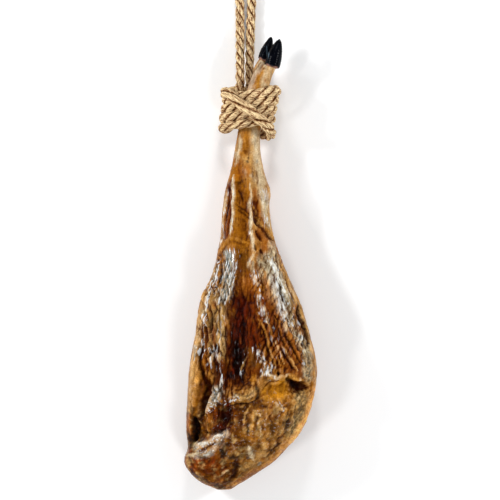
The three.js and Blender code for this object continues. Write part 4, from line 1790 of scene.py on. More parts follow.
HAM_FOLDS: tuple[Fold, ...] = (
    # Sinews, grooves and folds of the shank.
    Fold(
        ((-42, 139), (-45, 122), (-46, 107), (-48, 95), (-50, 77), (-51, 63), (-53, 41)),
        3.2, 0.8,
    ),
    Fold(((-36, 138), (-36, 118), (-38, 104), (-40, 73), (-43, 48)), 3.2, -3.4),
    Fold(
        ((-18, 222), (-23, 193), (-29, 165), (-30, 131), (-31, 104), (-33, 86), (-34, 68), (-35, 50)),
        3.4, 0.9,
    ),
    Fold(
        (
            (-1, 138), (0, 117), (-2, 100), (-1, 84), (1, 66), (3, 48), (5, 30),
            (3, 12), (-1, -4), (1, -17), (6, -31),
        ),
        3.2, 1.1,
    ),
    Fold(SHANK_HOLLOW, 2.4, -3.0),
    Fold(SHANK_GASH, 1.7, -2.8, Edge.SHARP),
    Fold(SHANK_FOLD, 2.0, 1.4),
    Fold(((14, 92), (22, 77), (35, 59), (41, 52)), 1.8, 1.6),
    Fold(UPPER_CUT, 1.7, -1.4),
    Fold(LOWER_CUT, 1.7, -1.4),
    Fold(((-21, 131), (-18, 122), (-15, 113)), 1.8, -1.4),
    Fold(((12, 60), (15, 50), (17, 41)), 2.8, -2.6),
    Fold(((31, 40), (38, 27)), 2.6, 1.6),
    Fold(((7, 31), (8, 22)), 2.2, -2.4),
    Fold(((15, 26), (23, 17)), 2.4, -2.8),
    # The cut rim of the skin across the shank's foot.
    Fold(SKIN_RIM, 2.8, 0.7),
    Fold(((-56, 12), (-50, 24), (-44, 31), (-37, 37), (-28, 38), (-16, 36)), 2.4, -0.6),
    # Upper thigh.
    Fold(((-53, 2), (-51, -22), (-57, -43), (-66, -44)), 2.6, -2.8),
    Fold(((-28, -17), (-31, -31), (-40, -60), (-48, -90)), 3.0, 1.8),
    Fold(((33, 12), (39, -4), (48, -17), (55, -30), (62, -54), (69, -85)), 3.4, 2.0),
    Fold(RIGHT_CLEFT, 2.4, -4.2, Edge.SHARP),
    Fold(((62, -24), (69, -45), (77, -72)), 2.2, -2.0),
    Fold(((84, -76), (85, -94), (93, -114), (98, -130), (104, -142)), 3.4, -7.0, Edge.SHARP),
    Fold(((90, -76), (97, -108), (105, -136)), 3.6, 2.0),
    # Left side of the thigh.
    Fold(((-71, -84), (-70, -100), (-71, -112), (-73, -126)), 2.6, -4.2),
    Fold(LEFT_CLEFT, 2.4, -3.4),
    Fold(
        (
            (-84, -140), (-86, -157), (-89, -179), (-85, -197), (-77, -213), (-71, -229),
            (-77, -243), (-80, -258), (-84, -274),
        ),
        3.4, -5.0,
    ),
    Fold(((-79, -126), (-82, -157), (-80, -186)), 3.0, 3.0),
    Fold(((-64, -108), (-63, -142)), 3.0, 2.4),
    Fold(((-94, -150), (-97, -200), (-99, -240), (-101, -268)), 4.0, 2.0),
    Fold(((-50, -85), (-51, -121), (-50, -171)), 4.0, 2.0),
    Fold(((-67, -158), (-72, -177)), 2.6, 2.2),
    Fold(((-55, -158), (-57, -177)), 2.6, 2.2),
    Fold(((-50, -202), (-51, -220)), 2.4, 1.4),
    Fold(((-60, -186), (-62, -214)), 2.6, -2.6),
    Fold(((-40, -190), (-42, -220)), 2.6, -2.4),
    # Dark core.
    Fold(((-24, -146), (-24, -170), (-26, -198)), 4.4, -3.6),
    Fold(((-13, -100), (-13, -121), (-12, -143)), 3.0, -2.4),
    Fold(((-6, -164), (-15, -183), (-19, -195)), 2.2, 1.2),
    Fold(((-2, -172), (-9, -192), (-12, -204)), 2.2, 1.8),
    Fold(((-33, -180), (-31, -196)), 2.6, 2.0),
    # Cords on the right, above the flap, with the dark gaps between them.
    Fold(CORD_1, 2.6, 2.6),
    Fold(CORD_2, 2.6, 2.6),
    Fold(CORD_3, 2.4, 2.8),
    Fold(CORD_4, 2.4, 2.8),
    Fold(CORD_5, 2.6, 3.4),
    Fold(CORD_6, 2.6, 3.2),
    Fold(GAP_1, 2.3, -4.6, Edge.SHARP),
    Fold(GAP_2, 2.3, -4.6, Edge.SHARP),
    Fold(GAP_3, 2.1, -4.0, Edge.SHARP),
    Fold(GAP_4, 2.3, -4.6, Edge.SHARP),
    Fold(GAP_5, 2.2, -4.4, Edge.SHARP),
    Fold(((48, -193), (48, -198)), 3.0, -7.0),
    # The flap's torn edge, its ledge and its pocket.
    Fold(
        (
            (-30, -246), (-12, -240), (6, -232), (16, -218), (19, -204), (26, -196),
            (35, -198), (44, -203), (58, -201), (70, -195),
        ),
        3.0, 2.8,
    ),
    Fold(
        (
            (-39, -257), (-26, -253), (-13, -250), (-3, -252), (10, -246), (18, -238),
            (26, -224), (34, -211), (46, -208),
        ),
        2.8, -5.0, Edge.SHARP,
    ),
    Fold(((66, -209), (76, -214), (84, -221), (103, -224)), 5.6, -5.0),
    Fold(((98, -204), (104, -217)), 5.0, 2.8),
    Fold(POCKET_LIP, 3.4, 2.6),
    Fold(((-58, -226), (-63, -240), (-71, -256)), 9.0, 1.6),
    Fold(((-70, -250), (-80, -272)), 2.8, 1.4),
    Fold(((-42, -260), (-44, -292)), 7.0, -4.4),
    Fold(((-62, -262), (-60, -290)), 3.0, 2.0),
    Fold(((-82, -303), (-67, -302), (-55, -298), (-47, -293)), 3.2, -5.0, Edge.SHARP),
    Fold(((-96, -278), (-94, -301), (-99, -319)), 6.4, -7.4),
    Fold(((-109, -270), (-108, -292), (-106, -308)), 3.0, 2.0),
    Fold(((-8, -222), (-10, -236)), 3.0, 1.8),
    Fold(((12, -218), (14, -232), (9, -243)), 3.4, -1.8),
    # Lower lobe.
    Fold(((-96, -328), (-80, -319), (-66, -310), (-48, -304)), 4.0, 1.8),
    Fold(((-90, -334), (-76, -327), (-60, -316)), 2.6, -1.6),
    Fold(((-94, -343), (-80, -339), (-68, -333), (-54, -321)), 4.0, 1.8),
    Fold(((-7, -281), (-6, -303)), 2.2, -4.4),
    Fold(((-1, -254), (-8, -268), (-11, -282), (-14, -294)), 2.6, 1.8),
    Fold(((6, -262), (3, -280), (1, -294)), 2.6, 1.5),
    Fold(((15, -266), (13, -283), (18, -299)), 3.2, 1.8),
    Fold(((28, -258), (27, -276)), 2.6, 2.2),
    Fold(LOBE_GASH, 2.0, -2.8),
    Fold(((42, -244), (46, -256), (58, -262)), 3.0, 2.8),
    Fold(((70, -276), (62, -300), (48, -326), (30, -346)), 2.8, -2.6),
    Fold(((52, -266), (50, -286), (42, -308)), 3.0, 2.0),
    Fold(((-4, -324), (1, -337), (6, -350)), 4.4, 1.5),
    Fold(((112, -240), (101, -267), (87, -295), (67, -321), (41, -350), (10, -373)), 5.0, 2.0),
    Fold(LOBE_EDGE, 2.6, 2.8),
    Fold(((-58, -377), (-46, -373), (-36, -364)), 2.4, 1.8),
    Fold(((-22, -356), (-26, -373), (-35, -388)), 4.0, -3.0),
    Fold(((-53, -329), (-46, -340), (-51, -347)), 3.6, -2.4),
    Fold(((-30, -304), (-18, -322)), 7.0, 2.0),
    Fold(((-66, -352), (-64, -368)), 3.6, 2.0),
    Fold(((-74, -350), (-88, -374)), 4.0, -2.0),
    Fold(((-24, -270), (-22, -292)), 3.2, 2.0),
)

HAM_WRINKLES: tuple[WrinkleField, ...] = (
    WrinkleField((-50, -24), (30, 56), -20, 6.5, 1.2, 1.7),
    WrinkleField((-70, -110), (34, 90), -8, 9.0, 2.3, 9.2),
    WrinkleField((-60, -215), (34, 66), 2, 9.0, 2.4, 14.4),
    WrinkleField((44, -30), (42, 74), 22, 8.0, 1.1, 21.9, 3.6),
    WrinkleField((52, -140), (50, 64), 24, 9.0, 2.3, 33.5, 3.6),
    WrinkleField((-14, -130), (38, 90), 2, 9.0, 1.4, 45.0, 3.4),
    WrinkleField((-10, -232), (60, 34), 60, 9.0, 0.8, 51.3, 1.3),
    WrinkleField((30, -290), (66, 56), 14, 18.0, 1.1, 58.8, 1.5),
    WrinkleField((-60, -350), (66, 50), 50, 16.0, 1.2, 66.1, 1.6),
    WrinkleField((84, -260), (36, 60), 20, 8.0, 0.7, 71.7, 1.5),
    WrinkleField((-44, -276), (40, 34), 8, 6.0, 1.6, 77.3, 3.0),
    WrinkleField((-10, 90), (42, 70), 4, 5.5, 0.5, 83.0, 5.0),
    WrinkleField((-2, 180), (30, 50), 2, 5.5, 0.3, 91.0, 5.0),
)

HAM_STROKES: tuple[Stroke, ...] = (
    # Broad fields, from the shank down.
    Stroke(Tone.CREAM_PINK, ((4, 230), (6, 190), (12, 150), (22, 110), (30, 60)), 20, 0.9, 0.6),
    Stroke(Tone.AMBER, ((-7, 232), (-6, 210), (-10, 199)), 7, 0.95, 0.6),
    Stroke(Tone.ORANGE, ((-22, 176), (-19, 155), (-6, 170), (-4, 158)), 7, 0.8, 0.6),
    Stroke(Tone.DEEP_AMBER, ((-16, 134), (-13, 104), (-12, 76), (-12, 50)), 13, 0.95, 0.6),
    Stroke(Tone.AMBER, ((-26, 36), (-12, 30), (-20, 16)), 14, 0.9, 0.7),
    Stroke(
        Tone.OLIVE_AMBER, ((-14, 14), (-16, -13), (-24, -34), (-36, -60), (-46, -90)),
        12, 0.95, 0.6,
    ),
    Stroke(Tone.ORANGE, ((-4, -34), (-4, -54), (10, -66)), 15, 0.9, 0.6),
    Stroke(Tone.OLIVE_AMBER, ((-62, -70), (-66, -110), (-62, -160)), 18, 0.9, 0.65),
    Stroke(Tone.GREY_OCHRE, ((-58, -56), (-62, -100), (-60, -150)), 18, 0.45, 0.65, 0.2),
    Stroke(Tone.MOULD_GREEN, ((28, 6), (42, -24), (60, -60), (78, -100)), 18, 0.9, 0.5, 0.4),
    Stroke(
        Tone.TAN,
        (
            (-67, -13), (-82, -44), (-90, -70), (-95, -94), (-99, -130), (-105, -160),
            (-109, -193), (-111, -229), (-113, -262),
        ),
        9, 0.95, 0.4,
    ),
    Stroke(
        Tone.CREAM, ((-76, -50), (-86, -76), (-91, -110), (-97, -150), (-101, -176)),
        5, 0.35, 0.5,
    ),
    Stroke(
        Tone.TAN, ((60, -9), (70, -31), (80, -53), (88, -76), (96, -99), (102, -121), (110, -146)),
        8, 0.95, 0.35, 0.1,
    ),
    Stroke(Tone.BROWN, ((-30, -150), (-36, -176), (-40, -206)), 26, 0.85, 0.7),
    Stroke(
        Tone.LEAN, ((-14, -70), (-18, -103), (-21, -139), (-24, -166), (-26, -194)),
        26, 1.0, 0.65,
    ),
    Stroke(Tone.BROWN, ((12, -80), (14, -110), (14, -150), (4, -190)), 15, 0.8, 0.65),
    Stroke(Tone.DARK_RED, ((-2, -80), (2, -110), (5, -140), (3, -160)), 15, 0.9, 0.65),
    Stroke(Tone.RED_BROWN, ((28, -84), (40, -120), (58, -156), (72, -184)), 25, 0.9, 0.75),
    Stroke(Tone.BROWN, ((-54, -176), (-56, -206), (-44, -232)), 19, 0.9, 0.7),
    Stroke(Tone.OCHRE, ((-30, -238), (-6, -232), (10, -222), (22, -206)), 14, 0.9, 0.5, 0.5),
    Stroke(
        Tone.OCHRE, ((6, -266), (36, -284), (46, -306), (16, -328), (-2, -350)),
        30, 0.9, 0.5, 0.25,
    ),
    Stroke(Tone.OLIVE_AMBER, ((-40, -306), (-22, -318), (-12, -334)), 17, 0.9, 0.6, 0.2),
    Stroke(Tone.DARK_ORANGE, ((-106, -352), (-86, -362), (-62, -368)), 24, 0.85, 0.55),
    Stroke(Tone.GREY_OCHRE, ((91, -232), (92, -256), (84, -276), (74, -300)), 14, 0.95, 0.35, 0.8),
    # Upper shank.
    Stroke(Tone.CREAM, ((-19, 230), (-19, 212), (-23, 194), (-27, 174)), 4.5, 0.68, 0.8),
    Stroke(Tone.TAN, ((-26, 226), (-27, 200)), 2.4, 0.8),
    Stroke(Tone.CREAM, ((11, 232), (13, 200), (18, 166), (22, 140), (24, 112)), 9.0, 0.6, 0.5),
    Stroke(Tone.CREAM, ((8, 232), (10, 200)), 4.0, 0.7, 0.5),
    Stroke(Tone.GOLD, ((19, 222), (20, 196), (25, 160)), 3.6, 0.6),
    Stroke(Tone.BROWN, ((-10, 201), (-8, 194)), 3.6, 0.85),
    Stroke(Tone.DARK_BROWN, ((-4, 190), (-4, 187)), 2.4, 0.9),
    Stroke(Tone.MOULD_DARK, ((-9, 183), (-6, 179)), 2.4, 0.8),
    Stroke(Tone.MOULD_BLUE, ((11, 184), (13, 177)), 2.4, 0.6),
    Stroke(Tone.RED_BROWN, ((-22, 168), (-20, 158)), 3.4, 0.7),
    Stroke(Tone.PINK_GREY, ((-14, 172), (-8, 158), (-4, 148)), 2.2, 0.4),
    Stroke(Tone.CREAM, ((2, 162), (4, 154)), 3.8, 0.58, 0.8),
    Stroke(Tone.OLIVE_AMBER, ((10, 168), (15, 142)), 2.4, 0.8),
    Stroke(Tone.DARK_BROWN, ((-27, 144), (-20, 143), (-15, 144)), 2.8, 0.8),
    Stroke(Tone.DARK_BROWN, ((-15, 148), (-10, 136)), 3.0, 0.55),
    Stroke(Tone.RED_BROWN, ((1, 148), (2, 146)), 2.0, 0.8),
    Stroke(Tone.RED_BROWN, ((29, 144), (31, 136)), 2.4, 0.5),
    # Middle of the shank; its dark strokes in the carved grooves are partly lean, partly painted shade.
    Stroke(
        Tone.CREAM, ((-40, 146), (-43, 136), (-46, 110), (-50, 77), (-54, 41), (-60, 24)),
        4.5, 0.61, 0.7,
    ),
    Stroke(Tone.ORANGE, ((-39, 137), (-40, 104), (-43, 77), (-45, 52)), 6.0, 0.8, 0.7),
    Stroke(
        Tone.DARK_RED, ((-36, 140), (-36, 118), (-38, 104), (-40, 73), (-43, 46)),
        5.3, 0.95, 0.7,
    ),
    Stroke(Tone.PURPLE_GREY, ((-33, 106), (-35, 70)), 1.8, 0.4),
    Stroke(
        Tone.CREAM, ((-30, 158), (-30, 131), (-31, 104), (-33, 86), (-34, 68), (-37, 44)),
        3.0, 0.8, 0.85,
    ),
    Stroke(Tone.GOLD, ((-26, 122), (-27, 94), (-26, 62)), 3.6, 0.75, 0.6),
    Stroke(Tone.BROWN, ((-21, 131), (-18, 122), (-14, 110)), 2.2, 0.85),
    Stroke(Tone.RED_BROWN, ((-9, 110), (-5, 90)), 4.0, 0.8, 0.7),
    Stroke(Tone.DARK_BROWN, UPPER_CUT, 1.8, 0.6),
    Stroke(Tone.DARK_BROWN, LOWER_CUT, 1.8, 0.6),
    Stroke(Tone.DARK_BROWN, ((-15, 80), (-12, 76)), 3.0, 0.6),
    Stroke(Tone.BROWN, ((-12, 66), (-11, 56)), 4.0, 0.6),
    Stroke(Tone.CREAM, ((-1, 144), (0, 117), (-2, 100), (-1, 78)), 2.6, 0.75, 0.8),
    Stroke(Tone.PINK_GREY, ((-1, 118), (0, 84), (2, 60), (5, 30)), 5.0, 0.5, 0.7),
    Stroke(Tone.CREAM, ((-1, 92), (1, 66), (4, 48), (5, 28)), 3.0, 0.85, 0.85),
    Stroke(Tone.CREAM, ((5, 36), (3, 12), (-1, 2)), 4.0, 0.68, 0.8),
    Stroke(Tone.CREAM, ((-3, 2), (-3, -13)), 3.0, 0.65, 0.8),
    Stroke(Tone.CREAM, ((4, 2), (3, -16)), 2.8, 0.65, 0.8),
    Stroke(Tone.DARK_RED, SHANK_HOLLOW, 2.8, 0.9, 0.7),
    Stroke(Tone.ORANGE, ((8, 128), (12, 104), (19, 90), (27, 74)), 6.6, 0.95, 0.7),
    Stroke(Tone.RED_BROWN, ((17, 123), (20, 110)), 2.2, 0.8),
    Stroke(Tone.PURPLE_GREY, ((27, 131), (29, 108)), 5.0, 0.7, 0.6),
    Stroke(Tone.CREAM, ((23, 110), (29, 86), (34, 66)), 5.4, 0.65, 0.8),
    Stroke(Tone.TAN, ((34, 116), (35, 80), (40, 50), (46, 28)), 3.0, 0.8),
    Stroke(Tone.GOLD, SHANK_FOLD, 2.0, 0.8, 0.8),
    Stroke(Tone.DARK_BROWN, SHANK_GASH, 1.8, 0.6),
    Stroke(Tone.BROWN, ((21, 80), (28, 68), (36, 56)), 1.6, 0.7),
    Stroke(Tone.ORANGE, ((18, 56), (26, 40), (25, 26)), 8.0, 0.95, 0.7),
    Stroke(Tone.DARK_RED, ((12, 60), (15, 50), (18, 40)), 3.4, 0.85),
    Stroke(Tone.CREAM, ((33, 40), (38, 28), (46, 14)), 4.5, 0.54, 0.8),
    # Rim of the skin across the shank's foot, with a painted glint; its dark notches are partly painted
    # shade.
    Stroke(Tone.GOLD, SKIN_RIM, 2.6, 0.45, 0.7),
    Stroke(Tone.PAINTED_GLINT, ((-51, 48), (-51, 42)), 3.1, 0.4, 1.0),
    Stroke(Tone.BROWN, ((-24, 37), (-13, 34)), 4.0, 0.8),
    Stroke(Tone.BROWN, ((-56, 10), (-50, 22), (-44, 30)), 2.6, 0.8),
    Stroke(Tone.GOLD, ((-12, 28), (-11, 22)), 3.4, 0.6),
    Stroke(Tone.BLACK_LEAN_AND_SHADE, ((7, 32), (8, 22)), 2.2, 0.85),
    Stroke(Tone.DARK_BROWN, ((15, 26), (23, 17)), 2.6, 0.85),
    Stroke(Tone.PINK_GREY, ((-38, 20), (-26, 15)), 4.6, 0.7, 0.7),
    Stroke(Tone.DARK_BROWN, ((-17, 17), (-19, 8)), 2.8, 0.75),
    # Upper thigh: white glints are painted highlight, dark strokes in the clefts partly painted shade.
    Stroke(
        Tone.MOULD_BLUE, ((-40, 14), (-40, 0), (-42, -15), (-43, -31), (-42, -46), (-47, -58)),
        9.0, 0.95, 0.8, 0.7,
    ),
    Stroke(Tone.MOULD_BLUE, ((-62, -2), (-65, -24), (-72, -50), (-76, -66)), 5.0, 0.85, 0.8, 0.5),
    Stroke(Tone.PAINTED_GLINT, ((-34, -14), (-38, -34), (-44, -48)), 3.6, 0.4, 1.0),
    Stroke(Tone.PAINTED_GLINT, ((-72, -50), (-76, -64)), 3.9, 0.4, 1.0),
    Stroke(Tone.BLACK_LEAN_AND_SHADE, ((-53, 2), (-51, -22), (-57, -43)), 2.6, 0.8, 0.8),
    Stroke(Tone.DARK_BROWN, ((-44, 4), (-42, -6)), 3.0, 0.6, 0.8),
    Stroke(Tone.DARK_BROWN, ((-57, -43), (-67, -45)), 3.0, 0.85),
    Stroke(Tone.GOLD, ((-28, -17), (-32, -32)), 2.4, 0.7),
    Stroke(Tone.PAINTED_GLINT, ((-48, -54), (-52, -68)), 3.4, 0.4, 1.0),
    Stroke(Tone.PAINTED_GLINT, ((-58, -62), (-62, -74)), 3.1, 0.4, 1.0),
    Stroke(Tone.ORANGE, ((-62, -68), (-65, -80)), 3.4, 0.7),
    Stroke(Tone.CREAM, ((-83, -76), (-87, -92)), 3.8, 0.58, 0.8),
    Stroke(Tone.GOLD, ((-84, -62), (-90, -80)), 3.0, 0.6),
    Stroke(Tone.MOULD_GREEN, ((15, 2), (18, -12), (20, -24)), 5.0, 0.8, 0.6, 0.4),
    Stroke(Tone.OLIVE_AMBER, ((15, 18), (22, 8)), 6.0, 0.75, 0.5, 0.4),
    Stroke(Tone.PAINTED_GLINT, ((5, -20), (8, -34), (16, -38)), 4.2, 0.4, 0.9),
    Stroke(Tone.RED_BROWN, ((10, -2), (10, -18)), 2.2, 0.7),
    Stroke(Tone.ORANGE, ((25, -17), (28, -34), (34, -60)), 5.0, 0.8, 0.6),
    Stroke(
        Tone.CREAM, ((35, 8), (41, -6), (50, -20), (57, -37), (64, -60), (70, -86)),
        4.0, 0.8, 0.6, 0.2,
    ),
    Stroke(Tone.PURPLE_GREY, ((42, -26), (47, -44), (52, -66), (58, -92)), 7.0, 0.8, 0.6, 0.4),
    Stroke(Tone.CREAM, ((44, -46), (48, -62)), 4.2, 0.5, 0.8),
    Stroke(Tone.SILVER, ((40, -6), (48, -26), (56, -52), (60, -76)), 6.0, 0.7, 0.7, 0.3),
    Stroke(Tone.MOULD_GREEN, ((70, -80), (80, -104), (88, -124)), 6.0, 0.6, 0.5, 0.5),
    Stroke(Tone.BROWN, ((-18, 0), (-20, -24), (-26, -44)), 9.0, 0.45, 0.6),
    Stroke(Tone.BLACK_LEAN_AND_SHADE, RIGHT_CLEFT, 2.2, 0.9),
    Stroke(Tone.BROWN, ((62, -24), (69, -45)), 2.0, 0.75),
    Stroke(Tone.BROWN, ((72, -52), (77, -74)), 2.2, 0.8),
    Stroke(Tone.ORANGE, ((80, -74), (82, -96), (90, -118), (96, -136)), 4.6, 0.8),
    Stroke(Tone.DARK_BROWN, ((84, -72), (85, -94), (93, -114), (98, -130), (106, -148)), 4.4, 1.0),
    Stroke(Tone.GREY_OCHRE, ((68, -67), (75, -94), (83, -117), (88, -130)), 5.4, 0.6, 0.4, 0.6),
    Stroke(Tone.DARK_RED, ((18, -54), (22, -70)), 3.0, 0.7, 0.7),
    Stroke(Tone.CREAM, ((12, -56), (16, -76)), 3.0, 0.43, 1.0),
    # Left side of the thigh: white glints are painted highlight, dark strokes in clefts partly painted
    # shade.
    Stroke(Tone.BLACK_LEAN_AND_SHADE, ((-71, -84), (-70, -100), (-71, -112), (-74, -128)), 3.2, 0.9, 0.7),
    Stroke(Tone.ORANGE, ((-76, -118), (-80, -140), (-82, -165), (-80, -184)), 4.4, 0.85, 0.7),
    Stroke(Tone.RED_BROWN, ((-67, -112), (-64, -148)), 4.4, 0.8, 0.7),
    Stroke(Tone.BLACK_LEAN_AND_SHADE, LEFT_CLEFT, 3.0, 0.9, 0.7),
    Stroke(Tone.PAINTED_GLINT, ((-84, -122), (-83, -139)), 3.9, 0.4, 1.0),
    Stroke(Tone.PAINTED_GLINT, ((-86, -144), (-86, -161)), 2.5, 0.4, 1.0),
    Stroke(Tone.MOULD_BLUE, ((-98, -146), (-99, -172)), 3.6, 0.75, 0.8, 0.3),
    Stroke(Tone.PAINTED_GLINT, ((-67, -159), (-71, -176)), 2.7, 0.4, 1.0),
    Stroke(Tone.PAINTED_GLINT, ((-55, -158), (-57, -177)), 3.4, 0.4, 1.0),
    Stroke(Tone.GREY_OCHRE, ((-50, -78), (-52, -121), (-50, -165)), 5.6, 0.8, 0.7, 0.3),
    Stroke(
        Tone.BLACK_LEAN_AND_SHADE, ((-84, -140), (-86, -157), (-89, -179), (-85, -197), (-77, -213), (-71, -229)),
        3.4, 0.9, 0.7,
    ),
    Stroke(Tone.BROWN, ((-84, -206), (-84, -236), (-86, -262)), 8.0, 0.8, 0.6),
    Stroke(Tone.BLACK_LEAN_AND_SHADE, ((-77, -218), (-81, -240), (-85, -258), (-86, -282)), 4.6, 0.85, 0.6),
    Stroke(Tone.GOLD, ((-93, -196), (-96, -214)), 3.4, 0.6),
    Stroke(Tone.PAINTED_GLINT, ((-50, -203), (-51, -221)), 2.0, 0.75, 1.0),
    Stroke(Tone.DARK_BROWN, ((-60, -186), (-62, -214)), 3.0, 0.75, 0.7),
    Stroke(Tone.BLACK_LEAN_AND_SHADE, ((-66, -196), (-66, -222)), 3.0, 0.6, 0.7),
    Stroke(Tone.ORANGE, ((-40, -206), (-34, -218)), 4.4, 0.6, 0.8),
    # Dark core: dark lean, its black strokes in the carved crevices partly painted shade.
    Stroke(Tone.BLACK_LEAN_AND_SHADE, ((-13, -98), (-13, -121), (-12, -146)), 3.4, 0.85, 0.7),
    Stroke(Tone.BLACK_LEAN_AND_SHADE, ((-26, -142), (-24, -160), (-24, -180), (-26, -200)), 10.0, 0.85, 0.8),
    Stroke(Tone.BLACK_LEAN_AND_SHADE, ((-14, -156), (-17, -168), (-18, -180)), 6.0, 0.8, 0.8),
    Stroke(Tone.DARK_RED, ((-33, -184), (-31, -196)), 3.6, 0.85, 0.8),
    Stroke(Tone.RED_BROWN, ((-16, -130), (-15, -142)), 2.4, 0.7, 0.8),
    Stroke(Tone.TAN, ((-6, -166), (-14, -182), (-19, -193)), 1.5, 0.4, 1.0),
    Stroke(Tone.OLIVE_AMBER, ((-2, -156), (5, -172)), 6.0, 0.8, 0.7),
    Stroke(Tone.MOULD_DARK, ((4, -174), (8, -182)), 4.0, 0.7, 0.5, 0.9),
    Stroke(Tone.BLACK_LEAN_AND_SHADE, ((-10, -190), (-14, -210)), 4.0, 0.75, 0.9),
    Stroke(Tone.GOLD, ((12, -76), (16, -92)), 4.0, 0.5, 0.7),
    Stroke(Tone.AMBER, ((14, -104), (18, -126)), 4.0, 0.5, 0.7),
    Stroke(Tone.OLIVE_AMBER, ((4, -160), (12, -176), (20, -188)), 8.0, 0.7, 0.7),
    # Cords on the right: the dark gaps and hole are partly painted shade, the white glints painted
    # highlight.
    Stroke(Tone.BLACK_LEAN_AND_SHADE, GAP_1, 2.5, 0.85, 0.8),
    Stroke(Tone.BLACK_LEAN_AND_SHADE, GAP_2, 2.5, 0.85, 0.8),
    Stroke(Tone.DARK_RED, GAP_3, 2.4, 0.9, 0.8),
    Stroke(Tone.BLACK_LEAN_AND_SHADE, GAP_4, 2.5, 0.85, 0.8),
    Stroke(Tone.BLACK_LEAN_AND_SHADE, GAP_5, 2.4, 0.85, 0.8),
    Stroke(Tone.GOLD, CORD_1, 1.9, 0.55, 0.9),
    Stroke(Tone.GOLD, CORD_2, 1.9, 0.5, 0.9),
    Stroke(Tone.TAN, CORD_3, 1.8, 0.7, 0.9),
    Stroke(Tone.TAN, CORD_4, 2.0, 0.55, 0.9),
    Stroke(Tone.ORANGE, CORD_5, 2.6, 0.8, 0.9),
    Stroke(Tone.ORANGE, CORD_6, 2.4, 0.75, 0.9),
    Stroke(Tone.CREAM, ((22, -72), (27, -92), (32, -106)), 3.2, 0.5, 1.0),
    Stroke(Tone.CREAM, ((58, -90), (64, -110), (66, -124)), 3.5, 0.47, 0.9),
    Stroke(Tone.PAINTED_GLINT, ((8, -154), (16, -166)), 4.5, 0.4, 1.0),
    Stroke(Tone.PAINTED_GLINT, ((22, -166), (25, -180)), 5.0, 0.4, 1.0),
    Stroke(Tone.CREAM, ((28, -184), (36, -198)), 4.4, 0.75, 0.9, 0.4),
    Stroke(Tone.BLACK_LEAN_AND_SHADE, ((48, -192), (48, -199)), 3.2, 1.0),
    Stroke(
        Tone.MOULD_GREEN, ((86, -128), (98, -150), (104, -170), (103, -206)),
        6.5, 0.9, 0.4, 0.95,
    ),
    Stroke(Tone.OLIVE_AMBER, ((98, -160), (104, -184), (104, -204)), 4.0, 0.5, 0.4, 0.9),
    Stroke(Tone.CREAM, ((73, -119), (85, -143), (96, -154)), 4.2, 0.58, 0.8, 0.1),
    Stroke(Tone.CREAM, ((94, -172), (101, -174)), 2.5, 0.58, 1.0),
    Stroke(Tone.TAN, ((107, -146), (113, -166), (117, -193), (117, -222)), 4.0, 0.9, 0.4, 0.0),
    # Flap, ledge and pocket, with a painted shadow under the ledge, painted shade in the pocket and a
    # painted glint.
    Stroke(
        Tone.CREAM, ((19, -200), (26, -195), (35, -197), (44, -202), (58, -200), (68, -195)),
        3.0, 0.61, 0.9,
    ),
    Stroke(Tone.MOULD_DARK, ((26, -207), (36, -206)), 4.4, 0.8, 0.4, 0.9),
    Stroke(Tone.RED_BROWN, ((-2, -196), (14, -190)), 6.0, 0.7, 0.8),
    Stroke(Tone.BROWN, ((-22, -214), (-4, -212)), 6.0, 0.6, 0.7, 0.4),
    Stroke(Tone.GREY_OCHRE, ((-24, -236), (-6, -236), (4, -226)), 6.0, 0.75, 0.3, 0.8),
    Stroke(Tone.MOULD_DARK, ((12, -216), (14, -232), (9, -244)), 4.4, 0.85, 0.3, 0.9),
    Stroke(Tone.PINK_GREY, ((2, -226), (5, -238)), 3.0, 0.6, 0.4, 0.6),
    Stroke(Tone.PAINTED_GLINT, ((-28, -236), (-22, -240)), 4.2, 0.4, 0.9, 0.4),
    # Painted shadow under the ledge, and its fainter run to the right.
    Stroke(Tone.BLACK_LEAN_AND_SHADE, ((-39, -257), (-26, -253), (-13, -250), (-3, -252)), 3.0, 0.95, 0.6),
    Stroke(Tone.DARK_BROWN, ((-3, -252), (10, -246), (18, -238)), 2.2, 0.6),
    Stroke(Tone.BRIGHT_GOLD, ((32, -231), (44, -219), (56, -211), (48, -228)), 10.0, 1.0, 0.7, 0.0),
    Stroke(Tone.GOLD, ((56, -224), (64, -232), (40, -238)), 8.0, 0.8, 0.7, 0.0),
    Stroke(Tone.BRIGHT_GOLD, ((42, -234), (52, -228), (60, -226)), 7.0, 0.8, 0.7, 0.0),
    Stroke(Tone.BRIGHT_GOLD, POCKET_LIP, 4.0, 0.75, 0.6, 0.0),
    # Painted shade in the pocket under the flap's lip.
    Stroke(Tone.BLACK_LEAN_AND_SHADE, ((64, -206), (74, -212), (82, -220), (88, -223)), 5.4, 0.95, 0.6, 0.0),
    Stroke(Tone.DARK_RED, ((80, -228), (92, -226), (104, -222)), 3.4, 0.9, 0.6, 0.0),
    Stroke(Tone.DARK_RED, ((20, -240), (30, -230), (36, -216)), 2.6, 0.75),
    Stroke(Tone.CREAM_PINK, ((104, -208), (105, -216)), 3.6, 0.7),
    # Lower left, round the corner pocket: its black pocket, crease and valley are partly painted shade, its
    # white glints painted highlight.
    Stroke(Tone.MOULD_BLUE, ((-57, -226), (-62, -238), (-68, -248)), 8.0, 0.8, 0.7, 1.0),
    Stroke(Tone.PAINTED_GLINT, ((-58, -228), (-67, -250)), 4.2, 0.3, 1.0),
    Stroke(Tone.PAINTED_GLINT, ((-74, -254), (-79, -265)), 2.8, 0.4, 1.0),
    Stroke(Tone.CREAM, ((-49, -248), (-44, -253)), 3.5, 0.5, 0.9),
    Stroke(Tone.RED_BROWN, ((-64, -262), (-62, -292)), 7.0, 0.9, 0.7),
    Stroke(Tone.ORANGE, ((-76, -268), (-74, -284)), 2.4, 0.7),
    Stroke(Tone.BROWN, ((-20, -262), (-16, -276), (-22, -292)), 10.0, 0.8, 0.6),
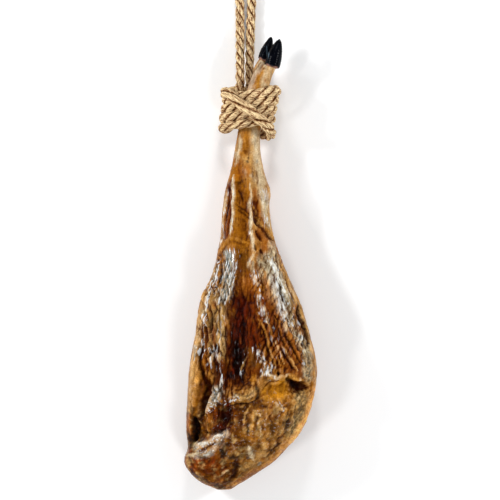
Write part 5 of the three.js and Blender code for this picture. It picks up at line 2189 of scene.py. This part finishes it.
    Stroke(Tone.LEAN, ((-40, -256), (-42, -276), (-50, -294)), 14.0, 1.0, 0.7),
    Stroke(Tone.BLACK_LEAN_AND_SHADE, ((-36, -262), (-38, -280)), 6.0, 0.7, 0.6),
    Stroke(Tone.BLACK_LEAN_AND_SHADE, ((-82, -303), (-67, -302), (-55, -298), (-46, -292)), 3.0, 0.95, 0.6),
    Stroke(Tone.ORANGE, ((-109, -268), (-108, -292), (-106, -308)), 3.6, 0.9, 0.6),
    Stroke(Tone.RED_BROWN, ((-102, -276), (-101, -316)), 4.0, 0.8),
    # Painted shade deep in the corner pocket, over dark lean.
    Stroke(Tone.BLACK_LEAN_AND_SHADE, ((-99, -280), (-97, -294), (-97, -306), (-101, -318)), 13.0, 1.0, 0.1),
    Stroke(Tone.DARK_BROWN, ((-85, -270), (-84, -288)), 2.0, 0.8),
    Stroke(Tone.ORANGE, ((-111, -270), (-110, -292), (-108, -308)), 4.0, 0.9, 0.6),
    Stroke(Tone.GREY_OCHRE, ((-100, -326), (-97, -334)), 5.4, 0.85, 0.4, 0.7),
    # Lower lobe: shine and white strokes are painted highlight, the silver bands partly so, and dark
    # strokes in sunk folds partly painted shade.
    Stroke(Tone.RED_BROWN, ((-82, -322), (-74, -308)), 5.0, 0.8),
    Stroke(Tone.OLIVE_AMBER, ((-90, -336), (-72, -324), (-52, -310)), 9.0, 0.5, 1.0),
    Stroke(Tone.SILVER, ((-98, -330), (-80, -320), (-66, -311), (-44, -302)), 5.3, 0.42, 1.0),
    Stroke(Tone.SILVER, ((-96, -344), (-80, -340), (-68, -333), (-52, -319)), 5.3, 0.42, 1.0),
    Stroke(Tone.SHINE, ((-90, -326), (-82, -321), (-74, -317)), 2.2, 0.8, 1.0),
    Stroke(Tone.SHINE, ((-66, -310), (-58, -307), (-48, -303)), 2.0, 0.8, 1.0),
    Stroke(Tone.SHINE, ((-84, -341), (-74, -337), (-64, -330)), 2.0, 0.8, 1.0),
    Stroke(Tone.RED_BROWN, ((-92, -334), (-78, -328), (-62, -318)), 2.6, 0.7, 1.0),
    Stroke(Tone.DARK_BROWN, ((-88, -334), (-76, -327), (-60, -316)), 2.0, 0.7),
    Stroke(Tone.ORANGE, ((-62, -340), (-52, -322), (-46, -312)), 3.4, 0.7, 0.7),
    Stroke(Tone.PINK_GREY, ((-32, -320), (-28, -330)), 4.0, 0.5, 0.5),
    Stroke(Tone.BLACK_LEAN_AND_SHADE, ((-53, -330), (-46, -339), (-51, -346)), 3.8, 0.75, 0.4, 1.0),
    Stroke(Tone.CREAM, ((-4, -322), (1, -337), (6, -352)), 5.0, 0.75, 0.9),
    Stroke(Tone.BLACK_LEAN_AND_SHADE, ((-7, -281), (-6, -303)), 1.9, 0.9),
    Stroke(Tone.TAN, ((-1, -254), (-8, -268), (-12, -282)), 2.0, 0.75, 0.8),
    Stroke(Tone.GOLD, ((6, -262), (3, -280), (1, -294)), 2.0, 0.6, 0.8),
    Stroke(Tone.TAN, ((15, -264), (13, -283), (18, -302)), 2.8, 0.8, 0.9),
    Stroke(Tone.BROWN, ((22, -262), (24, -276)), 2.4, 0.6),
    Stroke(Tone.PAINTED_GLINT, ((42, -246), (45, -255)), 2.8, 0.4, 1.0),
    Stroke(Tone.PAINTED_GLINT, ((51, -250), (58, -260)), 4.2, 0.4, 1.0),
    Stroke(Tone.DARK_RED, ((34, -255), (37, -259)), 2.2, 0.8),
    Stroke(Tone.DARK_RED, LOBE_GASH, 1.7, 0.85),
    Stroke(Tone.AMBER, ((-16, -298), (4, -308), (20, -316)), 7.0, 0.55, 0.6),
    Stroke(Tone.DARK_BROWN, ((-26, -300), (-20, -306)), 3.0, 0.6, 0.5, 0.8),
    Stroke(Tone.BLACK_LEAN_AND_SHADE, ((57, -314), (51, -324), (44, -333), (35, -343)), 2.6, 0.6, 0.4, 1.0),
    Stroke(Tone.BROWN, ((68, -284), (60, -302), (52, -316)), 2.6, 0.6, 0.4, 0.8),
    Stroke(Tone.TAN, ((24, -336), (12, -350), (-4, -362)), 6.0, 0.7, 0.4, 0.3),
    Stroke(Tone.MOULD_BLUE, ((14, -360), (20, -354)), 3.0, 0.6, 0.4, 0.8),
    Stroke(Tone.BROWN, ((-20, -352), (-34, -356)), 4.0, 0.6, 0.5, 0.6),
    Stroke(Tone.DARK_BROWN, ((-22, -352), (-27, -370), (-36, -388)), 9.0, 0.85),
    Stroke(Tone.MOULD_DARK, ((-50, -322), (-44, -338), (-32, -344)), 7.0, 0.55, 0.5, 1.0),
    Stroke(Tone.BROWN, ((-60, -380), (-72, -366)), 8.0, 0.6, 0.6),
    Stroke(Tone.CREAM, ((-52, -377), (-39, -368)), 2.2, 0.5, 0.9),
    Stroke(Tone.GREY_OCHRE, ((-46, -350), (-48, -364)), 4.0, 0.6, 0.4, 0.5),
    Stroke(Tone.DARK_ORANGE, ((-68, -349), (-66, -358)), 5.0, 0.8, 0.6),
    Stroke(Tone.GREY_OCHRE, ((-92, -355), (-84, -360)), 5.0, 0.5, 0.5),
    Stroke(Tone.CREAM, LOBE_EDGE, 2.5, 0.61, 0.9),
    Stroke(Tone.DARK_BROWN, ((-107, -369), (-91, -384), (-72, -395)), 4.6, 0.75),
    Stroke(Tone.OLIVE_AMBER, ((-58, -384), (-42, -378)), 5.0, 0.6, 0.6),
    Stroke(Tone.DARK_BROWN, ((-66, -400), (-46, -405)), 4.0, 0.85),
    # Smooth skin that shows along the lower right edge.
    Stroke(
        Tone.PEACH, ((119, -226), (114, -246), (106, -268), (94, -291), (81, -308), (64, -326)),
        8.0, 1.0, 0.45, 0.0,
    ),
    Stroke(
        Tone.SKIN, ((64, -324), (50, -342), (34, -358), (12, -372), (-10, -386), (-30, -398)),
        6.0, 0.9, 0.45, 0.0,
    ),
    Stroke(Tone.SKIN_DARK, ((22, -366), (-2, -380), (-24, -392)), 4.4, 0.8, 0.5, 0.0),
    Stroke(Tone.GOLD, ((118, -232), (112, -256)), 2.6, 0.6, 0.5, 0.0),
    # Deep crease along the right edge; its dark brown is partly painted shade in the crease.
    Stroke(Tone.ORANGE, ((78, -78), (82, -98), (90, -122)), 5.3, 0.7, 0.5, 0.1),
    Stroke(Tone.DARK_BROWN, ((83, -70), (87, -96), (95, -118), (104, -144)), 5.0, 1.0, 0.5, 0.1),
    # Toes.
    Stroke(Tone.CREAM_PINK, ((34, 352), (34, 336), (28, 312)), 13, 0.95, 0.7),
    Stroke(Tone.CREAM, ((46, 350), (42, 332), (36, 308)), 5.6, 0.8, 0.8),
    Stroke(Tone.GOLD, ((36, 344), (34, 326)), 5.3, 0.5, 0.8),
    Stroke(Tone.CREAM, ((34, 348), (27, 336), (25, 318)), 6.4, 0.55, 0.8),
    Stroke(Tone.GOLD, ((19, 348), (14, 334), (12, 314)), 4.6, 0.95, 0.7),
    Stroke(Tone.PINK_GREY, ((20, 358), (11, 342), (4, 328), (-2, 310)), 6.0, 1.0, 0.7),
    Stroke(Tone.CREAM, ((22, 366), (14, 352), (6, 340)), 3.0, 0.7, 0.7),
    Stroke(Tone.GOLD, ((12, 358), (2, 344), (-8, 328)), 2.6, 0.9, 0.7),
    Stroke(Tone.BROWN, ((20, 362), (10, 348), (0, 332)), 1.6, 0.8),
    Stroke(Tone.BROWN, ((22, 351), (25, 349)), 2.6, 0.7),
    Stroke(Tone.ORANGE, ((27, 330), (29, 322)), 3.0, 0.7),
    Stroke(Tone.CREAM, ((24, 362), (28, 352)), 3.4, 0.8, 0.7),
)

# Runs of painted highlight: their crests are painted pale and given a glossy coat.
HAM_GLINTS: tuple[Glint, ...] = (
    Glint(((-34, 14), (-40, -14), (-44, -44), (-50, -62)), 13, 0.9),
    Glint(((-60, 4), (-66, -30), (-76, -62)), 9, 0.85),
    Glint(((-78, -60), (-84, -92), (-84, -130), (-86, -162)), 6, 0.9),
    Glint(((-97, -130), (-99, -172)), 4, 0.7),
    Glint(((-68, -150), (-72, -180)), 7, 0.6),
    Glint(((-53, -70), (-54, -130), (-56, -185)), 8, 0.4),
    Glint(((-50, -196), (-52, -226)), 4, 0.9),
    Glint(((-24, -120), (-22, -150), (-20, -196)), 12, 0.1),
    Glint(((-8, -162), (-18, -196)), 5, 0.45),
    Glint(((8, -154), (24, -178), (36, -200)), 9, 0.8),
    Glint(((34, 8), (46, -20), (56, -60), (62, -96)), 10, 0.75),
    Glint(((66, -60), (74, -100), (88, -140), (100, -174)), 9, 0.5),
    Glint(((6, -20), (12, -44)), 7, 0.6),
    Glint(((16, -60), (26, -100)), 8, 0.5),
    Glint(((40, -120), (56, -160)), 14, 0.3),
    Glint(((-60, -230), (-62, -246), (-74, -260)), 7, 0.6),
    Glint(((-44, -250), (-24, -240)), 6, 0.7),
    Glint(((-90, -334), (-70, -322), (-50, -310)), 9, 0.5),
    Glint(((-30, -300), (30, -296)), 50, 0.15),
    Glint(((42, -246), (58, -260)), 6, 0.5),
    Glint(((14, -264), (16, -300)), 5, 0.25),
    Glint(((-40, 130), (-46, 90), (-52, 50)), 4, 0.6),
    Glint(((-30, 150), (-32, 100), (-35, 52)), 4, 0.5),
    Glint(((0, 120), (2, 60), (2, -10)), 4, 0.3),
    Glint(((26, 130), (28, 100), (30, 66)), 7, 0.5),
    Glint(((-54, 40), (-52, 50)), 5, 0.9),
    Glint(((-36, 22), (-24, 16)), 5, 0.5),
)


def main() -> None:
    """Build the ham, its hooves, its rope and the studio."""
    logging.basicConfig(level=logging.INFO, format="%(message)s")
    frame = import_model()
    Studio().build()
    effects = Effects()
    rope = FibreFinish(effects).build()
    lay = RopeLay()
    HangingLoop(lay, rope).build()
    Lashing(lay, rope).build()
    HamBody(frame, CuredFinish(effects)).build()
    horn = HornFinish(effects).build()
    Claw("hoof_near", NEAR_CLAW, horn).build()
    Claw("hoof_far", FAR_CLAW, horn).build()


if __name__ == "__main__":
    main()
